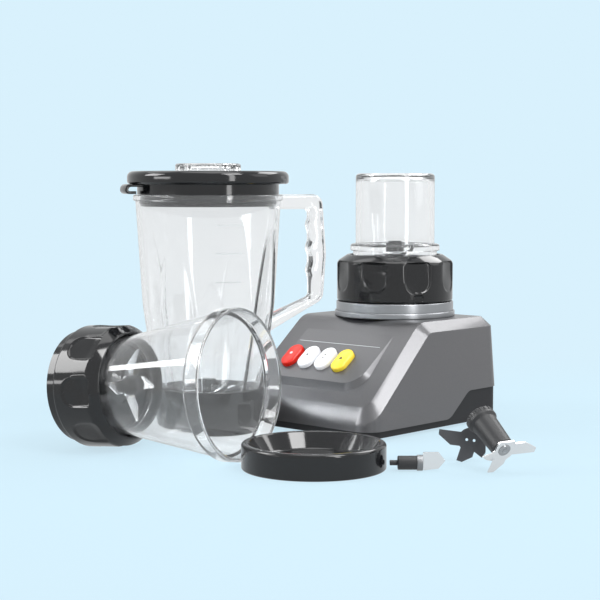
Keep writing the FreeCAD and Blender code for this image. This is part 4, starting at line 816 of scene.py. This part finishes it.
@dataclass
class MotorBase:
    """Silver housing with its band and raised panel, tray, ring, four keys and the motor inside."""

    place: Place = Place((*SHIFT, 0.0))
    ring_low: float = 95.0
    panel_spot: Spot = (0.0, -75.67, 45.35)
    panel_angle: float = 36.96
    key_first: float = -41.0
    key_pitch: float = 20.0
    key_along: float = 25.0
    key_width: float = 15.5
    key_length: float = 26.0
    key_proud: float = 4.5

    def on_panel(self, x: float, along: float, lift: float = 0.0) -> Place:
        """Place on the raised panel: X across, Y up its slope, Z out of it."""
        turn = about(0, self.panel_angle)
        spot = np.asarray(self.panel_spot) + turn @ np.array([x, along, lift]) + np.asarray(self.place.spot)
        return Place(tuple(spot), turn)

    def on_key(self, index: int, lift: float = 0.0) -> Place:
        """Place in the middle of a key, as on_panel has it."""
        return self.on_panel(self.key_first + self.key_pitch * index, self.key_along, lift)

    def ring(self) -> None:
        """Two-tier ring with a fine groove between its tiers."""
        profile = rounded([
            (46.4, 0), (55.5, 0, 0.8), (55.5, 5.1, 1.1), (53.5, 5.1), (53.5, 5.9), (54.1, 5.9),
            (54.1, 13.5, 1.0), (46.4, 13.5, 1.0)])
        ring = Place((*DRIVE, self.ring_low))(lathe(profile, 160))
        piece("collar_ring_satin", ring, RING, "base", ["collar_ring"], crease=40)

    def key(self, index: int, name: str, body: str, finish: Finish) -> None:
        """One pill-shaped key, crowned, with a soft edge.

        Ring k is the key's middle line moved out by its radius: the straight side from below the panel,
        a quarter arc at the top edge, then inwards over a crown of 0.5 (1 - (radius / half width)^2).
        """
        half, edge, foot, rise, columns = self.key_width / 2, 2.2, -6.0, 0.5, 72
        middle, round_ = (self.key_length - self.key_width) / 2, circle(columns)
        line = np.stack([np.zeros(columns), np.where(round_[:, 1] >= 0, middle, -middle)], 1)
        arc = np.linspace(0, pi / 2, 7)
        inward = np.linspace(half - edge, 0, 7)[1:]
        radius = np.concatenate([[0, half, half], half - edge + edge * np.cos(arc), inward])
        level = np.concatenate([[foot, foot, self.key_proud - edge - 1],
                                self.key_proud - edge + edge * np.sin(arc),
                                np.full(len(inward), self.key_proud)])
        crown = np.clip(1 - (radius / (half - edge)) ** 2, 0, None) * rise * (level > 0)
        points = np.concatenate([line[None] + radius[:, None, None] * round_[None],
                                 np.repeat((level + crown)[:, None, None], columns, 1)], 2)
        piece(f"{name}_cap", self.on_key(index)(grid(points)), finish, body, [name], crease=50)

    def mark(self, index: int, body: str, outline: Array, number: int = 0, ink: Finish = INK_DARK) -> None:
        """Flat printed mark in the middle of a key's top."""
        film = self.on_key(index, self.key_proud + 0.5)(printed(outline))
        piece(f"key_mark_{index}_{number}", film, ink, body)

    def keys(self) -> None:
        """Four keys with a pale dot, one dark dot, two dark dots and a dark wedge."""
        dot, wedge = circle(28), np.array([(-1.8, -1.6), (1.8, -1.6), (0.0, 2.0)])
        kinds = (("off", RED), ("low", WHITE), ("high", WHITE), ("pulse", YELLOW))
        for i, (name, finish) in enumerate(kinds):
            self.key(i, "button_" + name, name + "_key", finish)
        self.mark(0, "off_key", dot * 1.5, ink=PALE_INK_AND_HIGHLIGHT)
        self.mark(1, "low_key", dot * 1.2)
        self.mark(2, "high_key", dot + (0.0, 2.0), 1)
        self.mark(2, "high_key", dot - (0.0, 2.0), 2)
        self.mark(3, "pulse_key", wedge)

    def console_line(self) -> None:
        """Thin printed line across the panel above the keys."""
        left, right, up, half = -49.0, 46.0, 47.0, 0.28
        line = np.array([(left, up - half), (right, up - half), (right, up + half), (left, up + half)])
        piece("console_line", self.on_panel(0.0, 0.0, 0.05)(printed(line)), PALE_INK_AND_HIGHLIGHT, "base")

    def build(self) -> None:
        """Make the visible base and dress the works inside it."""
        carried("base_housing", SILVER, 26.0, 0.6)
        carried("base_tray", TRAY, 30.0, 0.4)
        carried("rubber_feet", RUBBER)
        carried("cord_gland", DRIVEN, 30.0, 0.3)
        self.ring()
        self.keys()
        self.console_line()
        carried("drive_coupling", DRIVEN, 30.0, 0.3)
        for finish, nodes in ((STEEL, "base_screws motor_bolts rotor_shaft"), (DRIVEN, "switch_block"),
                              (LAMINATION, "stator_stack rotor_core"), (COPPER, "field_coils commutator"),
                              (ZINC, "lower_bracket upper_bracket"), (BRONZE, "lower_bearing upper_bearing"),
                              (NYLON, "cooling_fan")):
            for node in nodes.split():
                dressed(node, finish)


# ---------------- mill, jug and chopper

@dataclass
class Mill:
    """Dry mill on the drive: collar, blade gear and a clear cup upside down on it."""

    place: Place = Place((*DRIVE, 108.8))
    collar_turn: float = 18.0

    def build(self) -> None:
        """Make the collar, the gear and the cup."""
        turned = self.place.turned(self.collar_turn)
        ScrewCollar("mill_collar", "mill", turned, radius=53.5, height=42.5, shoulder=6.2, mouth=42.0,
                    deck=36.0).build(Recess(radius=53.5, angle=-45.0))
        Gear("mill", "mill_cutter", self.place, dome=43.0, reach=25.0, wings=2).build()
        profile = rounded([
            (0, 114), (30.6, 114, 5.0), (33.4, 38.7), (38.8, 38.7, 0.6), (38.8, 46), (41.2, 46, 1.0),
            (41.2, 52.2, 2.4), (36.4, 52.2, 1.0), (36.4, 117, 3.5), (0, 117)], 8.0)
        cup = self.place(lathe(profile, 144, closed=False))
        piece("mill_cup_clear", cup, CLEAR, "mill_cup", ["mill_cup"], crease=50)


@dataclass
class Jug:
    """Fluted clear jug with its collar, gear, handle, lid and ribbed measuring cap."""

    place: Place = Place((SHIFT[0] - 59.7, SHIFT[1] - 143.1, 0.0))
    turn: float = 63.0
    wall: float = 3.0
    flute_radius: float = 36.0
    flute_top: float = 178.0
    flute_lean: float = 8.5
    handle_reach: float = 107.0
    tab_reach: float = 76.5

    def wall_radius(self, height: Array) -> Array:
        """Outer radius of the plain wall at a height."""
        return np.interp(height, [32.6, 44.6, 112.0, 201.6], [42.0, 47.5, 57.0, 62.6])

    def flutes(self, radius: Array, height: Array, turns: Array) -> Array:
        """Radius of the wall with four flutes pressed in.

        A flute's cutter is a cylinder that leans in towards its foot, x being its distance at a height. The
        wall and the cutter are joined by a soft minimum, so that the flute's edge is moulded round.
        """
        inner = radius < self.wall_radius(height) - self.wall / 2
        cutter = self.flute_radius + np.where(inner, self.wall, 0.0)
        top = float(self.wall_radius(np.array(self.flute_top)))
        x = top + self.flute_radius - (self.flute_top - height) * tan(radians(self.flute_lean))
        near, soft = near_side(x, cutter, folded(turns - radians(45), 4)), 0.25
        bent = radius - soft * np.log1p(np.exp(-np.clip((near - radius) / soft, -40, 40)))
        return np.where(height > self.flute_top + 12, radius, bent)

    def body(self) -> None:
        """Jug wall with flutes and a rim band, and the loop handle with its finger bumps."""
        profile = rounded([
            (39.4, 32.6), (42, 32.6, 0.8), (47.5, 44.6, 12), (57, 112, 120), (62.6, 201.6),
            (64.6, 201.6, 1.5), (64.6, 207, 1.5), (59.6, 207, 1.0), (59.6, 201.6), (54, 112, 120),
            (44.5, 44.6, 12)], 6.0)
        upright = self.place.turned(self.turn)
        shell = lathe(dense(profile, 2.2, 38, True), 288, carve=self.flutes)
        piece("jug_clear", upright(shell), CLEAR, "jug", ["jar_body"], crease=50)
        piece("jug_handle_clear", upright(self.handle()), CLEAR, "jug", crease=40)

    def handle(self) -> Surface:
        """Loop handle: the bar between its outer line and its inner line with three finger bumps."""
        reach, grip, low = self.handle_reach, self.handle_reach - 14.5, 108.0
        top, foot = (reach - 4, 207), (reach - 3, low + 6)
        outer = rounded([(60.0, 207), (*top, 9), (reach, 155, 40), (*foot, 10), (51.8, 86)], 6)
        bumps = [(grip - (0 if side else 2.2), level + side, 6)
                 for level in (180, 160, 140) for side in (6, 0, -6)]
        start, end = (grip, 194), (grip + 1, low + 9)
        inner = rounded([(60.0, 194), (*start, 4), *bumps, (*end, 6), (54.0, 101)], 6)
        counts = (14, 64, 20)
        return bar(matched(outer, [top, foot], counts), matched(inner, [start, end], counts), 17.0, 4.0)

    def scale(self) -> None:
        """Short moulded scale lines between two flutes, without figures; their pale colour is a painted
        highlight.

        Each line is a thin strip bent round the wall: a row of angles by the corners of its section.
        """
        turns = np.radians(np.linspace(-11.0, 11.0, 14)) + radians(-27.0)
        inner, proud, half = -0.1, 0.22, 0.4
        section = np.array([(inner, -half), (proud, -half), (proud, half), (inner, half)])
        made = Surface(np.empty((0, 3)), [])
        for level in (182.0, 158.5, 134.5, 110.0):
            radius = self.wall_radius(level + section[:, 1]) + section[:, 0]
            points = np.stack([radius * np.cos(turns)[:, None], radius * np.sin(turns)[:, None],
                               np.repeat((level + section[:, 1])[None], len(turns), 0)], -1)
            made = made + grid(points).capped(len(section))
        # pale ink on the clear moulded ridges: painted highlight in place of the light they catch
        piece("jug_scale_lines", self.place(made), PALE_INK_AND_HIGHLIGHT, "jug")

    def collar(self) -> None:
        """Screw collar that the jug stands on, its wall spreading towards the top."""
        profile = rounded([
            (6, 17.2), (8.5, 17.2), (8.5, 24.6), (36.6, 24.6), (36.6, 0, 0.6), (44.6, 0, 3), (48, 40.6, 1),
            (45.9, 40.6), (42.4, 32.6), (42.4, 28.6), (15, 28.6), (7.5, 35.6, 1), (6, 35.6)])
        scoops = Scallops(radius=45.8, width=19.0, low=8.0, high=31.0, depth=3.0, bottom=8.0)
        collar = lathe(dense(profile, 1.2, 44.0, True), scoops.angles(), carve=scoops)
        piece("jug_collar_black", self.place(collar), GLOSS, "jug", ["jar_collar"], crease=40)

    def lid(self) -> None:
        """Lid with a rounded rim, a sunk top and a pouring tab; the clear ribbed cap in its hole."""
        profile = rounded([
            (23.5, 208), (26.1, 208), (26.1, 218), (56, 218), (56, 197), (58.6, 197, 1), (58.6, 207.3),
            (61.1, 207.3), (61.1, 216, 1), (69.6, 216, 2.5), (69.6, 227, 5), (62.6, 227, 2), (59.6, 224, 1),
            (23.5, 224, 0.8)], 9.0)
        place = self.place.turned(self.turn)
        reach, counts = self.tab_reach, (8, 12, 8)
        lip = rounded([(-59.0, 216), (2 - reach, 216, 4.0), (-reach, 207.6, 3.6), (-66.0, 207.6)])
        under = rounded([(-59.0, 213.6), (5 - reach, 213.6, 1.8), (3 - reach, 210.0, 1.2), (-66.0, 210.0)])
        tab = bar(matched(lip, [(2 - reach, 214.5), (-reach, 208.5)], counts),
                  matched(under, [(5 - reach, 213.0), (3 - reach, 210.4)], counts), 20.0, 0.9)
        piece("jug_lid_black", place(lathe(profile, 160)), GLOSS, "jug_lid", ["jar_lid"], crease=40)
        piece("jug_lid_tab", place(tab), GLOSS, "jug_lid", crease=40)
        carried("jar_lid_seal", RUBBER)
        profile = rounded([
            (0, 231.2), (21.1, 231.2, 3), (21.1, 207.6), (23.1, 207.6, 0.6), (23.1, 224.3), (28.3, 224.3),
            (28.3, 233.6, 2), (0, 233.6)], 9.0)
        ribs = Notches(centre=29.1, cutter=1.9, low=224.8, high=231.8, count=24)
        cap = lathe(dense(profile, 1.4, 26), 288, False, ribs)
        piece("measuring_cap_clear", self.place(cap), CLEAR, "jug_cap", ["measuring_cap"], crease=50)

    def build(self) -> None:
        """Make the jug from its collar to its cap."""
        self.collar()
        Gear("jar", "jug_cutter", self.place, dome=35.6, reach=27.0).build()
        self.body()
        self.scale()
        self.lid()


@dataclass
class Chopper:
    """Chopper cup on its side, with its collar, gear, clear cup and the black lid on the worktop."""

    mouth: tuple[float, float] = (SHIFT[0] + 61.6, SHIFT[1] - 224.1)
    length: float = 148.0
    height: float = 49.7209
    lying_turn: float = 12.0
    tilt: float = 4.2387
    dish: Spot = (SHIFT[0] + 119.4, SHIFT[1] - 203.6, 0.0)

    def build(self) -> None:
        """Make the lying cup and its lid."""
        turn = about(2, self.lying_turn) @ about(1, 90 - self.tilt)
        back = turn[:, 2] * self.length
        place = Place((self.mouth[0] - back[0], self.mouth[1] - back[1], self.height), turn)
        ScrewCollar("chopper_collar", "chopper", place, radius=50.0, height=42.0, shoulder=7.0, mouth=41.5,
                    deck=32.0).build()
        Gear("chopper", "chopper_cutter", place, dome=39.0, reach=29.0).build()
        end = self.length
        profile = rounded([
            (37.7, 34.7), (40.5, 34.7, 0.6), (40.5, 44, 6), (57.4, end - 14.5, 0.8), (60, end - 11.9, 2),
            (60, end, 1.2), (57.2, end, 1.2), (57.2, end - 13.5), (54.6, end - 13.5, 0.8),
            (37.7, 44, 6)], 8.0)
        piece("chopper_cup_clear", place(lathe(profile, 192)), CLEAR, "chopper", ["chopper_cup"], crease=50)
        profile = rounded([
            (0, 4), (50.5, 4), (50.5, 0, 0.6), (55.5, 0, 1.5), (55.5, 20, 2.6), (50.5, 20, 1.6),
            (41.5, 7, 3), (0, 7)], 9.0)
        lid = Place(self.dish)(lathe(profile, 160, False))
        piece("chopper_lid_black", lid, GLOSS, "dish", ["chopper_lid"], crease=40)


class LoosePieces:
    """Removable blade unit, spare blade and small blade unit beside the base."""

    def build(self) -> None:
        """Dress the three pieces."""
        for node, finish, edge in (("loose_holder", DRIVEN, 0.2), ("loose_spindle", STEEL, 0.0),
                                   ("loose_blade", BLADE, 0.15), ("spare_blade", DISC, 0.15),
                                   ("small_holder", DRIVEN, 0.3), ("small_band", GREY_STEEL, 0.3),
                                   ("small_blade", BLADE, 0.15)):
            carried(node, finish, edge=edge)


# ---------------- studio

@dataclass(frozen=True)
class Lamp:
    """Rectangular soft lamp that looks at the middle of the set.

    The azimuth counts in degrees from +X towards +Y and the elevation in degrees above the worktop. far is
    the distance, size the width and height, and aim the height looked at, all in metres.
    """

    name: str
    azimuth: float
    elevation: float
    far: float
    size: tuple[float, float]
    watts: float
    aim: float = 0.1

    def build(self) -> None:
        """Hang the lamp."""
        light = bpy.data.lights.new(self.name, "AREA")
        light.shape, light.size, light.size_y, light.energy = "RECTANGLE", *self.size, self.watts
        made = linked(self.name, light)
        turn, rise = radians(self.azimuth), radians(self.elevation)
        flat = self.far * cos(rise)
        made.location = (flat * cos(turn), flat * sin(turn), self.aim + self.far * sin(rise))
        made.rotation_euler = (pi / 2 - rise, 0.0, turn + pi / 2)


@dataclass
class Studio:
    """Pale worktop, soft lights and the camera."""

    camera: Spot = (0.8232, -0.9341, 0.216)
    camera_turn: Spot = (85.58, 0.0, 43.0)
    lens: float = 90.0
    worktop: float = 30.0
    lamps: tuple[Lamp, ...] = (
        Lamp("strip_right_of_camera", -12.0, 18.0, 1.9, (0.28, 1.5), 9.0),
        Lamp("softbox_right", 38.0, 24.0, 2.0, (0.9, 1.1), 3.5),
        Lamp("softbox_left", -135.0, 30.0, 2.0, (0.8, 0.9), 21.0),
        Lamp("softbox_top_back", 84.0, 43.0, 2.0, (1.3, 0.7), 17.0),
        Lamp("overhead", 0.0, 89.0, 1.8, (1.2, 1.2), 11.0),
        Lamp("softbox_high_right", -3.0, 53.0, 1.9, (0.7, 0.6), 18.0),
        Lamp("softbox_back_left", 176.0, 51.0, 2.0, (0.9, 0.7), 2.8),
        Lamp("strip_low_left", -113.0, 5.5, 2.2, (1.0, 0.16), 3.5))

    def seen(self, tree: Tree) -> tuple[Node, Socket]:
        """Whether the eye, gloss or glass looks, and the tone it sees: the eye's own, or that of the rest."""
        rays = add(tree, "LightPath").outputs
        eye = rays["Is Camera Ray"]
        tone = add(tree, "Mix", {0: eye, 6: linear(REFLECTED), 7: linear(BACKGROUND)}, data_type="RGBA")
        seen = add(tree, "Math", {0: eye, 1: rays["Is Glossy Ray"]}, operation="MAXIMUM")
        seen = add(tree, "Math", {0: seen, 1: rays["Is Transmission Ray"]}, operation="MAXIMUM")
        return seen, tone.outputs[2]

    def floor(self) -> None:
        """Wide floor in the background's colour that keeps the object's shadow.

        The shadow's share runs out with distance, so that the floor meets the background without a line.
        """
        mesh = bpy.data.meshes.new("worktop")
        corners = [(x * self.worktop, y * self.worktop, 0) for x, y in SQUARE]
        mesh.from_pydata(corners, [], [(0, 1, 2, 3)])
        made = linked("worktop", mesh)
        paint = bpy.data.materials.new("worktop_pale")
        tree = fresh_tree(paint)
        seen, tone = self.seen(tree)
        plain = add(tree, "BsdfDiffuse", {"Color": linear("#dedfe0")})
        lit = add(tree, "BsdfDiffuse", {"Color": linear("#a3bfcc")})
        glow = add(tree, "Emission", {"Color": tone, "Strength": 1.0})
        spot = add(tree, "TexCoord").outputs["Object"]
        far = add(tree, "VectorMath", {0: spot}, operation="LENGTH").outputs["Value"]
        near, away, least, full = 0.28, 0.75, 0.8, 1.0
        fade = add(tree, "MapRange", {0: far, 1: near, 2: away, 3: least, 4: full},
                   interpolation_type="SMOOTHSTEP")
        share = add(tree, "MixShader", {0: fade, 1: lit, 2: glow})
        mixed = add(tree, "MixShader", {0: seen, 1: plain, 2: share})
        add(tree, "OutputMaterial", {"Surface": mixed})
        mesh.materials.append(paint)

    def world(self) -> None:
        """Pale background for the eye, gloss and glass; a neutral one for the light on the object."""
        sky = bpy.data.worlds.new("studio")
        bpy.context.scene.world = sky
        tree = fresh_tree(sky)
        seen, tone = self.seen(tree)
        shown = add(tree, "Background", {"Color": tone, "Strength": 1.0})
        fill = add(tree, "Background", {"Color": linear("#f3f2f1"), "Strength": 0.6})
        add(tree, "OutputWorld", {"Surface": add(tree, "MixShader", {0: seen, 1: fill, 2: shown})})

    def build(self) -> None:
        """Set the floor, the world, the lamps and the camera."""
        scene = bpy.context.scene
        scene.view_settings.view_transform = "Standard"
        self.floor()
        self.world()
        for lamp in self.lamps:
            lamp.build()
        lens = bpy.data.cameras.new("camera")
        lens.lens, lens.sensor_width, lens.sensor_fit = self.lens, 36.0, "HORIZONTAL"
        lens.clip_end = 100.0
        made = linked("camera", lens)
        made.location = self.camera
        made.rotation_euler = tuple(radians(a) for a in self.camera_turn)
        scene.camera = made


def main() -> None:
    """Build every sub-assembly in turn."""
    logging.basicConfig(level=logging.INFO, format="%(name)s: %(message)s")
    for part in (MotorBase(), Mill(), Jug(), Chopper(), LoosePieces(), Studio()):
        log.info("building %s", type(part).__name__)
        part.build()


if __name__ == "__main__":
    main()
